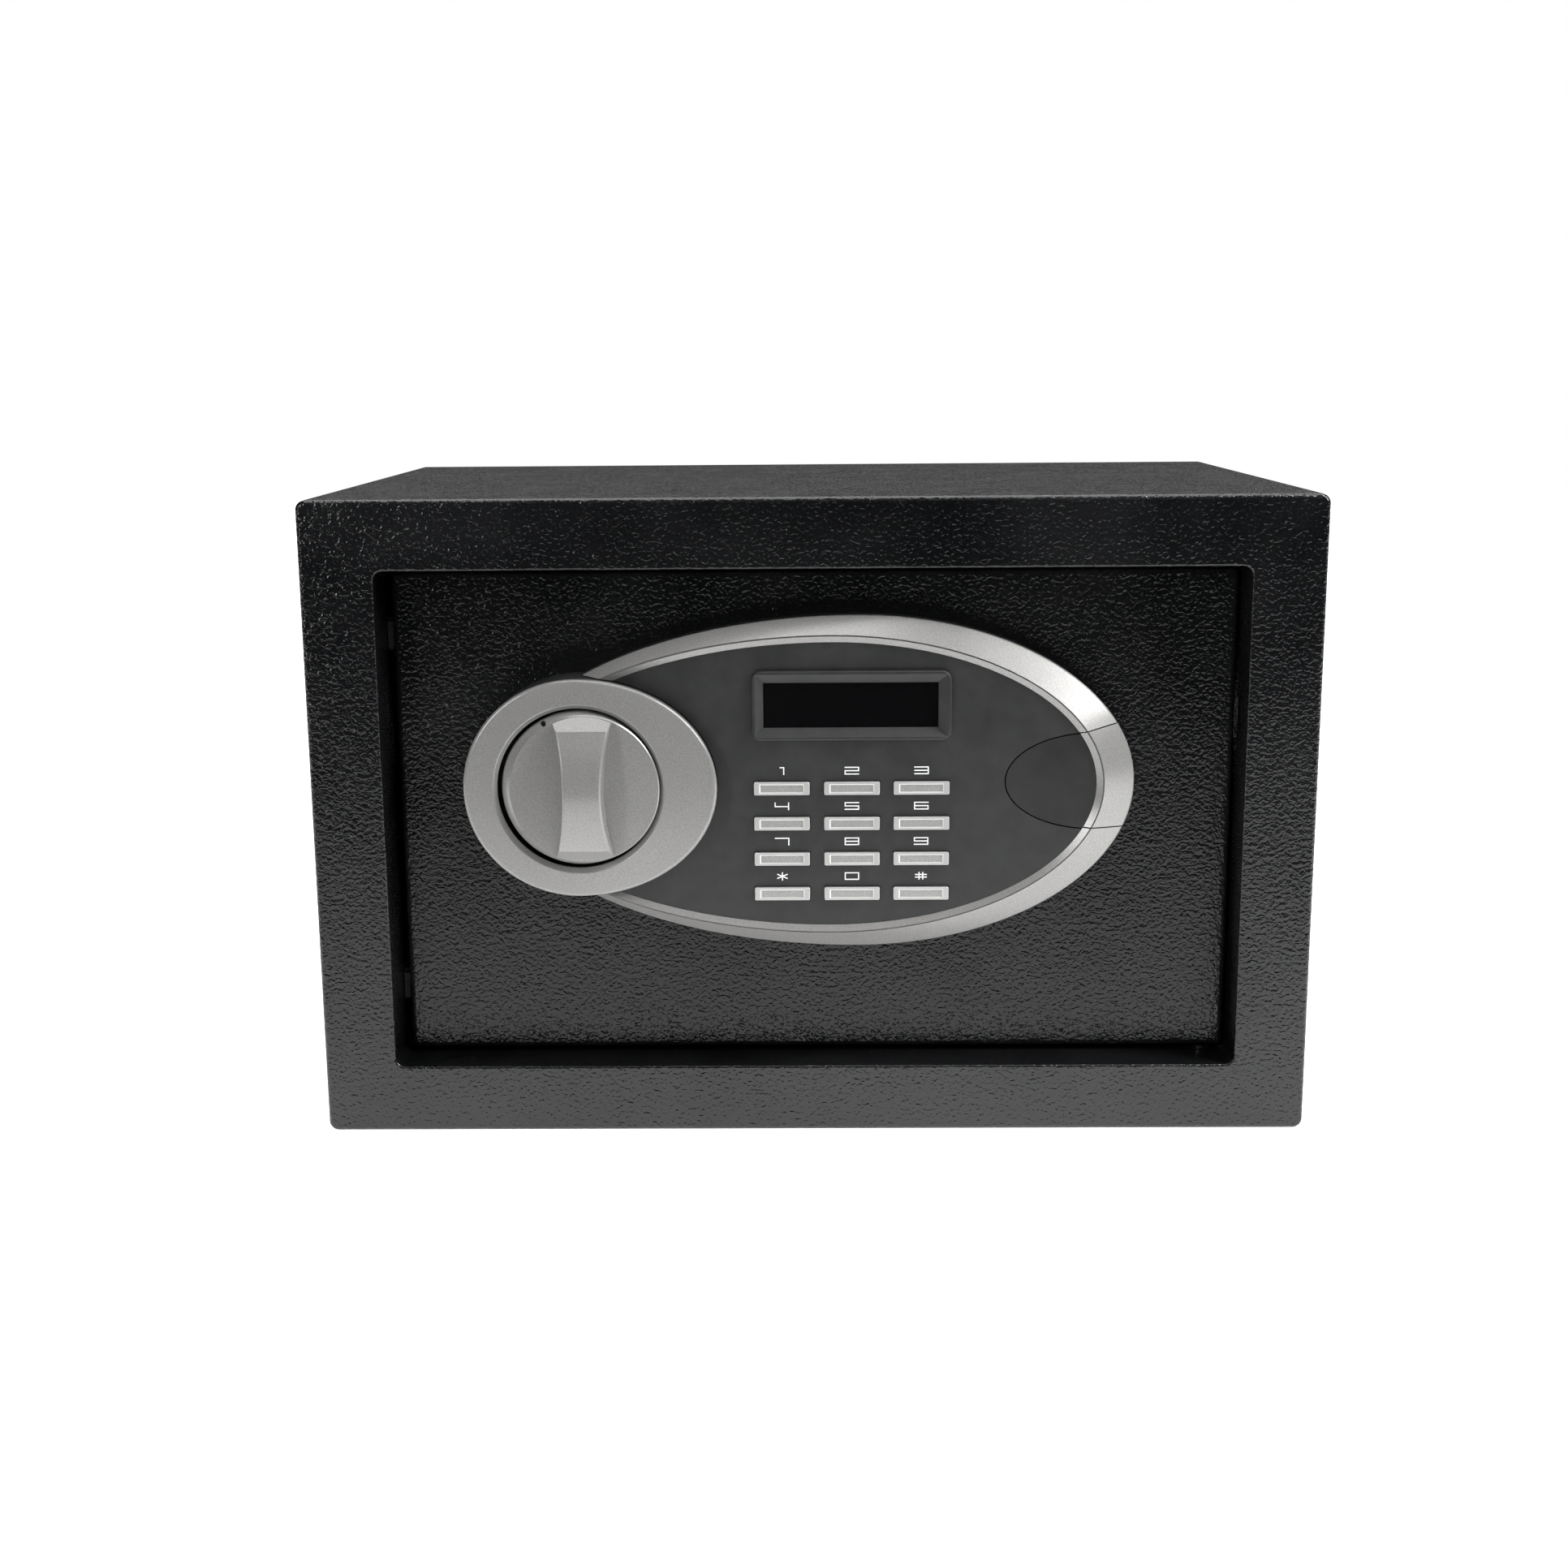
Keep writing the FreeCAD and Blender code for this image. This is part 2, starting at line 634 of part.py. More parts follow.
def trim_ring():
    wedge, seat = cap_zone()
    return whole_ring().cut(wedge.cut(seat))


def end_cap_trim():
    points = [(x, z - CAP_GAP * math.copysign(1, z - LOCK[1])) for x, z in CAP_WEDGE]
    wedge = prism(points, RING_TOP - 2.0, RING_BASE)
    reach = CAP_BRIDGE_REACH + CAP_GAP
    seat = egg_prism(FASCIA_EGG, CAP_BRIDGE - CAP_GAP, RING_BASE + 1.0, reach)
    return whole_ring().common(wedge).cut(seat)


def fascia_blank():
    rear = FASCIA_FACE + FASCIA_THICK
    floor = DOOR_FRONT - HOUSING_FLOOR
    plate = egg_prism(FASCIA_EGG, FASCIA_FACE, floor, -FASCIA_GAP)
    hollow = egg_prism(FASCIA_EGG, rear, floor, -FASCIA_GAP - FASCIA_SKIRT)
    return plate.cut(hollow).cut(egg_prism(KNOB_EGG, FASCIA_FACE, floor))


def keypad_fascia():
    fascia = fascia_blank()
    cap = egg_prism(CAP_EGG, FASCIA_FACE, DOOR_FRONT)
    fascia = fascia.cut(cap)
    rim = rounded_slab(BEZEL, BEZEL_TOP, FASCIA_FACE + OVERLAP, BEZEL_R)
    rim = round_face_edges(rim, BEZEL_TOP, BEZEL_EDGE_R)
    slope = Part.makeLoft(
        [
            area_wire(grown(BEZEL, -BEZEL_RIM), BEZEL_TOP - 0.01),
            area_wire(WINDOW, WINDOW_FACE),
        ],
        True,
        True,
    )
    fascia = fascia.fuse(rim).cut(slope)
    fascia = fascia.cut(slab(WINDOW, BEZEL_TOP, FASCIA_FACE + FASCIA_THICK))
    for x, z in key_places():
        half_w = KEY_W / 2 + KEY_CLEARANCE
        half_h = KEY_H / 2 + KEY_CLEARANCE
        area = (x - half_w, x + half_w, z - half_h, z + half_h)
        fascia = fascia.cut(slab(area, FASCIA_FACE, FASCIA_FACE + FASCIA_THICK))
    return fascia


def area_wire(area, y):
    x0, x1, z0, z1 = area
    corners = [(x0, z0), (x1, z0), (x1, z1), (x0, z1), (x0, z0)]
    return Part.makePolygon([Vector(x, y, z) for x, z in corners])


def key_places():
    return [(x, z) for z in KEY_ROWS for x in KEY_COLUMNS]


def end_cap_cover():
    lens = egg_prism(CAP_EGG, FASCIA_FACE, FASCIA_FACE + FASCIA_THICK, -CAP_GAP)
    lens = lens.common(egg_prism(FASCIA_EGG, FASCIA_FACE, FASCIA_FACE + FASCIA_THICK))
    x0, x1 = CAP_LEG_X
    y0 = FASCIA_FACE + FASCIA_THICK
    y1 = y0 + CAP_LEG_LENGTH
    half = CAP_LEG_THICK / 2
    for side in (-1, 1):
        z = CAP_EGG[1] + side * CAP_LEG_OFFSET
        lens = lens.fuse(block(x0, x1, y0, y1, z - half, z + half))
    return lens


def display_window():
    return slab(WINDOW, WINDOW_FACE, WINDOW_FACE + WINDOW_THICK, -WINDOW_PLAY)


def display_module():
    return slab(MODULE, FASCIA_FACE + FASCIA_THICK + MODULE_GAP, BOARD_FRONT)


def circuit_board():
    board = slab(BOARD, BOARD_FRONT, BOARD_REAR)
    for place in BOARD_SCREWS:
        board = board.cut(rod_y(place, BOARD_SCREW_R, BOARD_FRONT, BOARD_REAR))
    return board


def board_screws():
    tip = DOOR_FRONT - BOARD_SCREW_END
    head = (BOARD_SCREW_HEAD_R, BOARD_SCREW_HEAD)
    return [screw(place, BOARD_FRONT, tip, BOARD_SCREW_R, *head, 1) for place in BOARD_SCREWS]


def keypad_membrane():
    mat = slab(MEMBRANE, BOARD_FRONT - MEMBRANE_THICK, BOARD_FRONT)
    for place in key_places():
        mat = mat.fuse(rod_y(place, DOME_R, DOME_TOP, BOARD_FRONT - MEMBRANE_THICK))
    return mat.removeSplitter()


def key(x, z):
    """Key cap with a shallow dish in its face, on a flange that keeps it in the fascia."""
    half_w = KEY_W / 2
    half_h = KEY_H / 2
    face = (x - half_w, x + half_w, z - half_h, z + half_h)
    flange_front = FASCIA_FACE + FASCIA_THICK + HOLE_PLAY
    cap = rounded_slab(face, KEY_FACE, flange_front, KEY_CORNER_R)
    cap = round_face_edges(cap, KEY_FACE, KEY_EDGE_R)
    dish_x = half_w - KEY_DISH_END
    dish_z = half_h - KEY_DISH_SIDE
    mouth = (x - dish_x, x + dish_x, z - dish_z, z + dish_z)
    bottom = grown(mouth, -KEY_DISH_SLOPE)
    dish = Part.makeLoft(
        [area_wire(mouth, KEY_FACE), area_wire(bottom, KEY_FACE + KEY_DISH)], True, True
    )
    return cap.cut(dish).fuse(slab(face, flange_front, KEY_FOOT, KEY_FLANGE))


def knob_plate():
    plate = egg_prism(KNOB_EGG, KNOB_PLATE_TOP, KNOB_PLATE_REAR)
    crown_x = KNOB_EGG[0] + KNOB_PLATE_DOME_X
    centre = Vector(crown_x, KNOB_PLATE_TOP + KNOB_PLATE_DOME_R, KNOB_EGG[1])
    plate = plate.common(Part.makeSphere(KNOB_PLATE_DOME_R, centre))
    outline = front_edges(plate, KNOB_PLATE_REAR - 1.0, 4 * KNOB_HOLE_R)
    plate = plate.makeFillet(KNOB_PLATE_EDGE_R, outline)
    front = Vector(KNOB_HOLE[0], KNOB_PLATE_TOP, KNOB_HOLE[1])
    funnel = Part.makeCone(
        KNOB_HOLE_R + KNOB_CHAMFER, KNOB_HOLE_R, KNOB_FUNNEL_DEPTH, front, Y_AXIS
    )
    hole = rod_y(KNOB_HOLE, KNOB_HOLE_R, KNOB_PLATE_TOP, KNOB_PLATE_REAR)
    plate = plate.cut(funnel).cut(hole)
    x, z = KNOB_HOLE
    reach = KNOB_HOLE_R + KNOB_CHAMFER + 1.0
    area = (x - reach, x + reach, z - reach, z + reach)
    mouth = front_edges(plate, KNOB_PLATE_TOP + KNOB_FUNNEL_DEPTH - 1.0, 4 * KNOB_HOLE_R)
    return plate.makeFillet(KNOB_RIM_R, [e for e in mouth if within(e.BoundBox, area)])


def front_edges(solid, limit, length):
    """Long edges that lie wholly in front of the plane at limit."""
    return [e for e in solid.Edges if e.Length > length and e.BoundBox.YMax < limit]


def knob_bush():
    y0 = DOOR_FRONT - HOUSING_FLOOR - BUSH_FLANGE
    bush = rod_y(KNOB_AXIS, BUSH_R, y0 + BUSH_FLANGE, CRANK_Y - BUSH_END_GAP)
    bush = bush.fuse(rod_y(KNOB_AXIS, BUSH_FLANGE_R, y0, y0 + BUSH_FLANGE))
    return bush.cut(rod_y(KNOB_AXIS, SHAFT_R + BUSH_FIT, y0, CRANK_Y))


def panel_screws():
    return [
        screw(place, DOOR_REAR, DOOR_FRONT - PANEL_SCREW_END, SCREW_R, SCREW_HEAD_R, SCREW_HEAD, -1)
        for place in PANEL_SCREWS
    ]


def cable_grommet():
    y0 = DOOR_FRONT - HOUSING_FLOOR
    y1 = DOOR_REAR + GROMMET_LIP
    ring = rod_y(CABLE_HOLE, CABLE_HOLE_R, y0, DOOR_REAR)
    ring = ring.fuse(rod_y(CABLE_HOLE, GROMMET_LIP_R, DOOR_REAR, y1))
    return ring.cut(rod_y(CABLE_HOLE, GROMMET_HOLE_R, y0, y1))


def tube(points, radii):
    """Round tube along straight runs joined by tangent arcs of the given radii."""
    edges = []
    start = points[0]
    for i, radius in enumerate(radii, 1):
        before = (points[i - 1] - points[i]).normalize()
        after = (points[i + 1] - points[i]).normalize()
        bend_in = points[i] + before * radius
        bend_out = points[i] + after * radius
        towards = (before + after).normalize()
        middle = points[i] + towards * (radius * (math.sqrt(2.0) - 1.0))
        edges.append(Part.makeLine(start, bend_in))
        edges.append(Part.Arc(bend_in, middle, bend_out).toShape())
        start = bend_out
    edges.append(Part.makeLine(start, points[-1]))
    first = (points[1] - points[0]).normalize()
    ring = Part.Wire([Part.makeCircle(LEAD_R, points[0], first)])
    return Part.Wire(edges).makePipeShell([ring], True, True)


def battery_lead():
    x = CABLE_HOLE[0] - LEAD_OFFSET
    z0 = CABLE_HOLE[1]
    z1 = z0 - LEAD_DROP
    mid = LEAD_MID
    corners = [
        Vector(x, BOARD_REAR, z0),
        Vector(x, mid, z0),
        Vector(x, mid, z1),
        Vector(x, BATTERY_FRONT, z1),
    ]
    return tube(corners, LEAD_BENDS)


def solenoid_lead():
    x = CABLE_HOLE[0] + LEAD_OFFSET
    z = CABLE_HOLE[1]
    y = SOLENOID_FRONT + COIL_LEAD_RISE
    corners = [Vector(x, BOARD_REAR, z), Vector(x, y, z), Vector(SOLENOID[0], y, z)]
    return tube(corners, (COIL_LEAD_BEND,))


def bolt_guide():
    web = block(
        GUIDE_WEB_X, GUIDE_WEB_X + GUIDE_THICK, DOOR_REAR, DOOR_REAR + GUIDE_DEPTH,
        GUIDE_LOW, GUIDE_HIGH,
    )
    foot = block(
        GUIDE_WEB_X, GUIDE_WEB_X + GUIDE_THICK + GUIDE_FOOT, DOOR_REAR,
        DOOR_REAR + GUIDE_THICK, GUIDE_LOW, GUIDE_HIGH,
    )
    guide = web.fuse(foot).removeSplitter()
    for z in BOLT_HEIGHTS:
        hole = rod_x(BOLT_Y, z, BOLT_R + BOLT_FIT, GUIDE_WEB_X, GUIDE_WEB_X + GUIDE_THICK)
        guide = guide.cut(hole)
    return guide


def guide_posts():
    shoulder = CARRIAGE_Y - POST_SHOULDER_GAP
    neck = CARRIAGE_Y + CARRIAGE_THICK + POST_END_GAP
    posts = []
    for place in POSTS:
        post = rod_y(place, POST_SHOULDER_R, DOOR_REAR, shoulder)
        post = post.fuse(rod_y(place, POST_R, shoulder, neck))
        post = post.fuse(rod_y(place, POST_HEAD_R, neck, neck + POST_HEAD))
        posts.append(post)
    return posts


def solenoid_body():
    x0, x1, z0, z1 = SOLENOID
    frame = slab(SOLENOID, SOLENOID_FRONT, SOLENOID_REAR)
    wall = SOLENOID_WALL
    frame = frame.cut(block(x0, x1, SOLENOID_FRONT + wall, SOLENOID_REAR, z0 + wall, z1 - wall))
    coil = rod_z(PLUNGER_X, PLUNGER_Y, COIL_R, z0 + wall, z1 - wall)
    foot = block(x0 + wall, x1 - wall, DOOR_REAR, SOLENOID_FRONT, z0, z0 + wall)
    low = z0 - SOLENOID_FOOT
    base = block(x0 + wall, x1 - wall, DOOR_REAR, DOOR_REAR + wall, low, z0 + wall)
    body = frame.fuse([coil, foot, base])
    return body.cut(rod_z(PLUNGER_X, PLUNGER_Y, PLUNGER_R + PLUNGER_PLAY, z0 + BORE_FLOOR, z1))


def solenoid_plunger():
    pin = rod_z(PLUNGER_X, PLUNGER_Y, PLUNGER_R, SOLENOID[2] + PLUNGER_TAIL, PLUNGER_HEAD_LOW)
    head = rod_z(PLUNGER_X, PLUNGER_Y, PLUNGER_HEAD_R, PLUNGER_HEAD_LOW, PLUNGER_TOP)
    tab_rear = PLUNGER_Y + SHEET / 2
    tab_front = LOCK_REAR - TAB_GAP
    tab_end = PLUNGER_X + RELEASE_TAB
    tab_top = PLUNGER_HEAD_LOW + SHEET
    tab = block(PLUNGER_X, tab_end, tab_front, tab_rear, PLUNGER_HEAD_LOW, tab_top)
    return pin.fuse([head, tab]).removeSplitter()


def plunger_spring():
    """Coil of half rings, each tilted so that it climbs half a pitch."""
    z0 = SOLENOID[3] + SPRING_WIRE_R
    z1 = PLUNGER_HEAD_LOW - SPRING_WIRE_R
    climb = (z1 - z0) / (2 * SPRING_TURNS)
    radius = math.hypot(SPRING_R, climb / 2)
    tilt = math.degrees(math.atan2(climb / 2, SPRING_R))
    start = Part.Wire([Part.makeCircle(SPRING_WIRE_R, Vector(radius, 0, 0), Y_AXIS)])
    half_ring = Part.Face(start).revolve(Vector(0, 0, 0), Z_AXIS, 180)
    coil = []
    for i in range(2 * SPRING_TURNS):
        turn = half_ring.copy()
        turn.rotate(Vector(0, 0, 0), Y_AXIS, tilt)
        turn.rotate(Vector(0, 0, 0), Z_AXIS, 180 * i)
        turn.translate(Vector(PLUNGER_X, PLUNGER_Y, z0 + climb * (i + 0.5)))
        coil.append(turn)
    return coil[0].fuse(coil[1:]).removeSplitter()


# ---- emergency lock ----


def lock_housing():
    head = rod_y(LOCK, LOCK_HEAD_R, LOCK_FACE, LOCK_FACE + LOCK_HEAD)
    head = round_face_edges(head, LOCK_FACE, LOCK_EDGE_R)
    body = rod_y(LOCK, LOCK_R, LOCK_FACE + LOCK_HEAD, LOCK_REAR)
    return head.fuse(body).cut(rod_y(LOCK, PLUG_R + PLUG_FIT, LOCK_FACE, LOCK_REAR))


def lock_plug():
    shoulder = LOCK_REAR + CAM_GAP
    plug = rod_y(LOCK, PLUG_R, LOCK_FACE - PLUG_PROUD, shoulder)
    plug = plug.fuse(rod_y(LOCK, PLUG_TAIL_R, shoulder, shoulder + CAM_THICK + PLUG_TAIL))
    x, z = LOCK
    width, height, depth = KEYWAY
    y0 = LOCK_FACE - PLUG_PROUD
    y1 = LOCK_FACE + depth
    return plug.cut(block(x - width / 2, x + width / 2, y0, y1, z - height / 2, z + height / 2))


def lock_cam():
    y0 = LOCK_REAR + CAM_GAP
    y1 = y0 + CAM_THICK
    x, z = LOCK
    arm = block(x - CAM_REACH + CAM_HALF, x, y0, y1, z - CAM_HALF, z + CAM_HALF)
    tip = rod_y((x - CAM_REACH + CAM_HALF, z), CAM_HALF, y0, y1)
    hub = rod_y(LOCK, CAM_HUB_R, y0, y1)
    return arm.fuse([tip, hub]).removeSplitter().cut(rod_y(LOCK, PLUG_TAIL_R, y0, y1))


def lock_nut():
    x, z = LOCK
    corner = NUT_ACROSS / 2 / math.cos(math.radians(30))
    turns = [math.radians(60 * i) for i in range(6)]
    points = [(x + corner * math.cos(a), z + corner * math.sin(a)) for a in turns]
    nut = prism(points, DOOR_REAR, DOOR_REAR + NUT_THICK)
    return nut.cut(rod_y(LOCK, LOCK_R, DOOR_REAR, DOOR_REAR + NUT_THICK))


# ---- power and rear cover ----


def battery_box():
    y1 = COVER_REAR - COVER_WALL
    tray = slab(BATTERY_BOX, BATTERY_FRONT, y1)
    return tray.cut(slab(BATTERY_BOX, BATTERY_FRONT + BATTERY_WALL, y1, -BATTERY_WALL))


def batteries():
    y = BATTERY_FRONT + BATTERY_WALL + CELL_R + CELL_GAP
    centre = (BATTERY_BOX[0] + BATTERY_BOX[1]) / 2
    middle = (BATTERY_BOX[2] + BATTERY_BOX[3]) / 2
    cells = []
    for i in range(4):
        x = centre + (i - 1.5) * CELL_PITCH
        z0 = middle - CELL_LENGTH / 2
        z1 = middle + CELL_LENGTH / 2
        cell = rod_z(x, y, CELL_R, z0, z1)
        nub_z = z1 if i % 2 else z0 - CELL_NUB
        cells.append(cell.fuse(rod_z(x, y, CELL_NUB_R, nub_z, nub_z + CELL_NUB)))
    return cells


def battery_opening():
    return grown(BATTERY_BOX, -BATTERY_LEDGE)


def mechanism_cover():
    inner = COVER_REAR - COVER_WALL
    shell = rounded_slab(COVER, DOOR_REAR, COVER_REAR, COVER_CORNER_R)
    shell = round_face_edges(shell, COVER_REAR, COVER_EDGE_R)
    low = (COVER[0], COVER[1], COVER[2] - COVER_FLANGE, COVER[2] + 2.0)
    high = (COVER[0], COVER[1], COVER[3] - 2.0, COVER[3] + COVER_FLANGE)
    for area in (low, high):
        shell = shell.fuse(slab(area, DOOR_REAR, DOOR_REAR + COVER_WALL))
    hollow_r = COVER_CORNER_R - COVER_WALL
    shell = shell.cut(rounded_slab(grown(COVER, -COVER_WALL), DOOR_REAR, inner, hollow_r))
    for z in BOLT_HEIGHTS:
        shell = shell.cut(rod_x(BOLT_Y, z, BOLT_R + COVER_BOLT_PLAY, COVER[0] - 1, COVER[0] + 2))
    for place in COVER_SCREWS:
        shell = shell.cut(rod_y(place, SCREW_R, DOOR_REAR, DOOR_REAR + COVER_WALL))
    shell = shell.cut(slab(battery_opening(), inner - 1, COVER_REAR))
    return shell.cut(rod_y(RESET, RESET_R + RESET_HOLE_PLAY, inner - 1, COVER_REAR))


def cover_screws():
    seat = DOOR_REAR + COVER_WALL
    return [
        screw(place, seat, DOOR_REAR - COVER_SCREW_END, SCREW_R, SCREW_HEAD_R, SCREW_HEAD, -1)
        for place in COVER_SCREWS
    ]


def battery_cover():
    rear = COVER_REAR + BATTERY_COVER_THICK
    plate = rounded_slab(BATTERY_BOX, COVER_REAR, rear, BATTERY_COVER_R)
    plate = round_face_edges(plate, rear, BATTERY_COVER_EDGE_R)
    y0 = COVER_REAR - COVER_RIM
    rim = slab(battery_opening(), y0, COVER_REAR, -COVER_RIM_PLAY)
    rim = rim.cut(slab(battery_opening(), y0, COVER_REAR, -COVER_RIM_PLAY - COVER_RIM_WALL))
    return plate.fuse(rim).removeSplitter()


def reset_switch():
    x, z = RESET
    inner = COVER_REAR - COVER_WALL
    area = (x - SWITCH_HALF, x + SWITCH_HALF, z - SWITCH_HALF, z + SWITCH_HALF)
    body = slab(area, inner - SWITCH_DEPTH, inner)
    return body.cut(rod_y(RESET, RESET_R + RESET_HOLE_PLAY, inner - RESET_DEPTH, inner))


def reset_button():
    rear = COVER_REAR + RESET_PROUD
    button = rod_y(RESET, RESET_R, COVER_REAR - RESET_LENGTH, rear)
    return round_face_edges(button, rear, RESET_EDGE_R)


# ---- knob and bolt work ----


def round_wire(centre, radius, y):
    place = Vector(centre[0], y, centre[1])
    return Part.Wire([Part.makeCircle(radius, place, Y_AXIS)])


def knob():
    """Body centred on the shaft; its face and grip bar sit a little to one side."""
    face_centre = (KNOB_AXIS[0] + KNOB_FACE_OFFSET, KNOB_AXIS[1])
    flank_centre = (KNOB_AXIS[0] + KNOB_FLANK_OFFSET, KNOB_AXIS[1])
    body = Part.makeLoft(
        [
            round_wire(face_centre, KNOB_FACE_R - KNOB_BEVEL, KNOB_FACE),
            round_wire(face_centre, KNOB_FACE_R, KNOB_FACE + KNOB_BEVEL),
            round_wire(flank_centre, KNOB_FLANK_R, KNOB_FLANK),
            round_wire(KNOB_AXIS, KNOB_BODY_R, KNOB_PLATE_REAR),
            round_wire(KNOB_AXIS, KNOB_BODY_R, KNOB_BACK),
        ],
        True,
        True,
    )
    solid = body.fuse(rod_y(KNOB_AXIS, KNOB_HUB_R, KNOB_BACK - 1.0, KNOB_HUB_END))
    solid = solid.fuse(grip_bar(face_centre))
    turn = math.radians(DOT_ANGLE)
    reach = KNOB_FACE_R + DOT_RISE
    dot = (face_centre[0] + reach * math.cos(turn), face_centre[1] + reach * math.sin(turn))
    solid = solid.cut(rod_y(dot, DOT_R, KNOB_FACE - 1.0, KNOB_FACE + DOT_DEPTH))
    return solid.cut(rod_y(KNOB_AXIS, SHAFT_R, SHAFT_FRONT, KNOB_HUB_END))


def grip_bar(centre):
    """Arched bar across the knob, waisted in plan, with ends that slope down to the rim."""
    x, z = centre
    top = KNOB_FACE - BAR_HEIGHT
    shoulder = top + BAR_ARCH
    root = KNOB_FACE + BAR_ROOT
    left = x - BAR_END
    corner_low = Vector(left, shoulder, z - BAR_TOP_HALF)
    corner_high = Vector(left, shoulder, z + BAR_TOP_HALF)
    foot_low = Vector(left, root, z - BAR_FOOT_HALF)
    foot_high = Vector(left, root, z + BAR_FOOT_HALF)
    side = Part.Wire([
        Part.Arc(corner_low, Vector(left, top, z), corner_high).toShape(),
        Part.makeLine(corner_high, foot_high),
        Part.makeLine(foot_high, foot_low),
        Part.makeLine(foot_low, corner_low),
    ])
    arch = Part.Face(side).extrude(Vector(2 * BAR_END, 0, 0))
    half_end = BAR_END / 2
    half_waist = BAR_WAIST / 2
    ends = {}
    for s in (-1, 1):
        for t in (-1, 1):
            ends[s, t] = Vector(x + s * half_end, root, z + t * BAR_FOOT_HALF)
    waist = {s: Vector(x + s * half_waist, root, z) for s in (-1, 1)}
    plan = Part.Wire([
        Part.Arc(ends[-1, -1], waist[-1], ends[-1, 1]).toShape(),
        Part.makeLine(ends[-1, 1], ends[1, 1]),
        Part.Arc(ends[1, 1], waist[1], ends[1, -1]).toShape(),
        Part.makeLine(ends[1, -1], ends[-1, -1]),
    ])
    column = Part.Face(plan).extrude(Vector(0, top - root - 1.0, 0))
    rim = rod_y(centre, KNOB_FACE_R - KNOB_BEVEL - 0.1, top - 1.0, root)
    bar = arch.common(column)
    crown = [e for e in bar.Edges if e.BoundBox.YMax < KNOB_FACE - 1.0]
    bar = bar.makeFillet(BAR_EDGE_R, crown)
    return bar.common(rim)


def knob_shaft():
    return rod_y(KNOB_AXIS, SHAFT_R, SHAFT_FRONT, CRANK_Y + CRANK_THICK)


def knob_crank():
    y1 = CRANK_Y + CRANK_THICK
    disc = rod_y(KNOB_AXIS, CRANK_DISC_R, CRANK_Y, y1)
    half = BOLT_THROW / 2
    pin_place = (KNOB_AXIS[0] + half, KNOB_AXIS[1] + half)
    crank = disc.fuse(rod_y(pin_place, PIN_R, y1, PIN_END))
    return crank.cut(rod_y(KNOB_AXIS, SHAFT_R, CRANK_Y, y1))


def crank_screw():
    seat = CRANK_Y + CRANK_THICK
    return rod_y(KNOB_AXIS, CRANK_SCREW_R, seat, seat + SCREW_HEAD)


def bolt_carriage():
    y1 = CARRIAGE_Y + CARRIAGE_THICK
    plate = slab(CARRIAGE_STRIP, CARRIAGE_Y, y1).fuse(slab(CARRIAGE_ARM, CARRIAGE_Y, y1))
    for z in BOLT_HEIGHTS:
        tab = block(TAB_X, TAB_X + TAB_THICK, BOLT_Y - TAB_REACH, CARRIAGE_Y, z - BOLT_R, z + BOLT_R)
        plate = plate.fuse(tab)
    plate = plate.removeSplitter()
    for z in BOLT_HEIGHTS:
        plate = plate.cut(rod_x(BOLT_Y, z, SPIGOT_R, TAB_X, TAB_X + TAB_THICK))
    half = BOLT_THROW / 2
    low = KNOB_AXIS[1] + half - PIN_END_PLAY
    high = KNOB_AXIS[1] + PIN_ARM + PIN_END_PLAY
    slot_place = (KNOB_AXIS[0] + half, (low + high) / 2)
    slot = obround(slot_place, (high - low) / 2, PIN_R + PIN_SIDE_PLAY, CARRIAGE_Y, y1, False)
    plate = plate.cut(slot)
    for x, z in POSTS:
        place = (x + half, z)
        plate = plate.cut(obround(place, half, POST_R + POST_PLAY, CARRIAGE_Y, y1, True))
    notch_half = PLUNGER_HEAD_R + NOTCH_PLAY
    notch_top = PLUNGER_TOP + PLUNGER_STROKE + NOTCH_TOP_PLAY
    for shift in (0.0, BOLT_THROW):
        x = PLUNGER_X + shift
        area = (x - notch_half, x + notch_half, CARRIAGE_ARM[2], notch_top)
        plate = plate.cut(slab(area, CARRIAGE_Y, y1))
    return plate


def locking_bolts():
    bolts = []
    for z in BOLT_HEIGHTS:
        bolt = rod_x(BOLT_Y, z, BOLT_R, BOLT_TIP, TAB_X)
        tip = [e for e in bolt.Edges if abs(e.BoundBox.XMax - BOLT_TIP) < 1e-3]
        bolt = bolt.makeFillet(BOLT_TIP_R, tip)
        bolts.append(bolt.fuse(rod_x(BOLT_Y, z, SPIGOT_R, TAB_X, TAB_X + SPIGOT_LENGTH)))
    return bolts


def export_all():
    os.makedirs("parts", exist_ok=True)
    single = (
        body_wrapper, front_frame, back_panel, floor_mat, door_plate, panel_housing, trim_ring,
        end_cap_trim, keypad_fascia, end_cap_cover, display_window, display_module,
        circuit_board, keypad_membrane, knob_plate, knob_bush, cable_grommet, battery_lead,
        solenoid_lead, bolt_guide, solenoid_body, solenoid_plunger, plunger_spring,
        lock_housing, lock_plug, lock_cam, lock_nut, battery_box, mechanism_cover,
        battery_cover, reset_switch, reset_button, knob, knob_shaft, knob_crank, crank_screw,
        bolt_carriage,
    )
    for make in single:
        save(make.__name__, make())
    groups = (
        hinge_brackets, door_stops, stop_pads, hinge_pivots, board_screws, panel_screws,
        guide_posts, batteries, cover_screws, locking_bolts,
    )
    for make in groups:
        save(make.__name__, *make())
    for names, z in zip(KEY_NAMES, KEY_ROWS):
        for name, x in zip(names, KEY_COLUMNS):
            save("key_" + name, key(x, z))


export_all()
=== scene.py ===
import json
import math

import bmesh
import bpy
from mathutils import Matrix, Vector


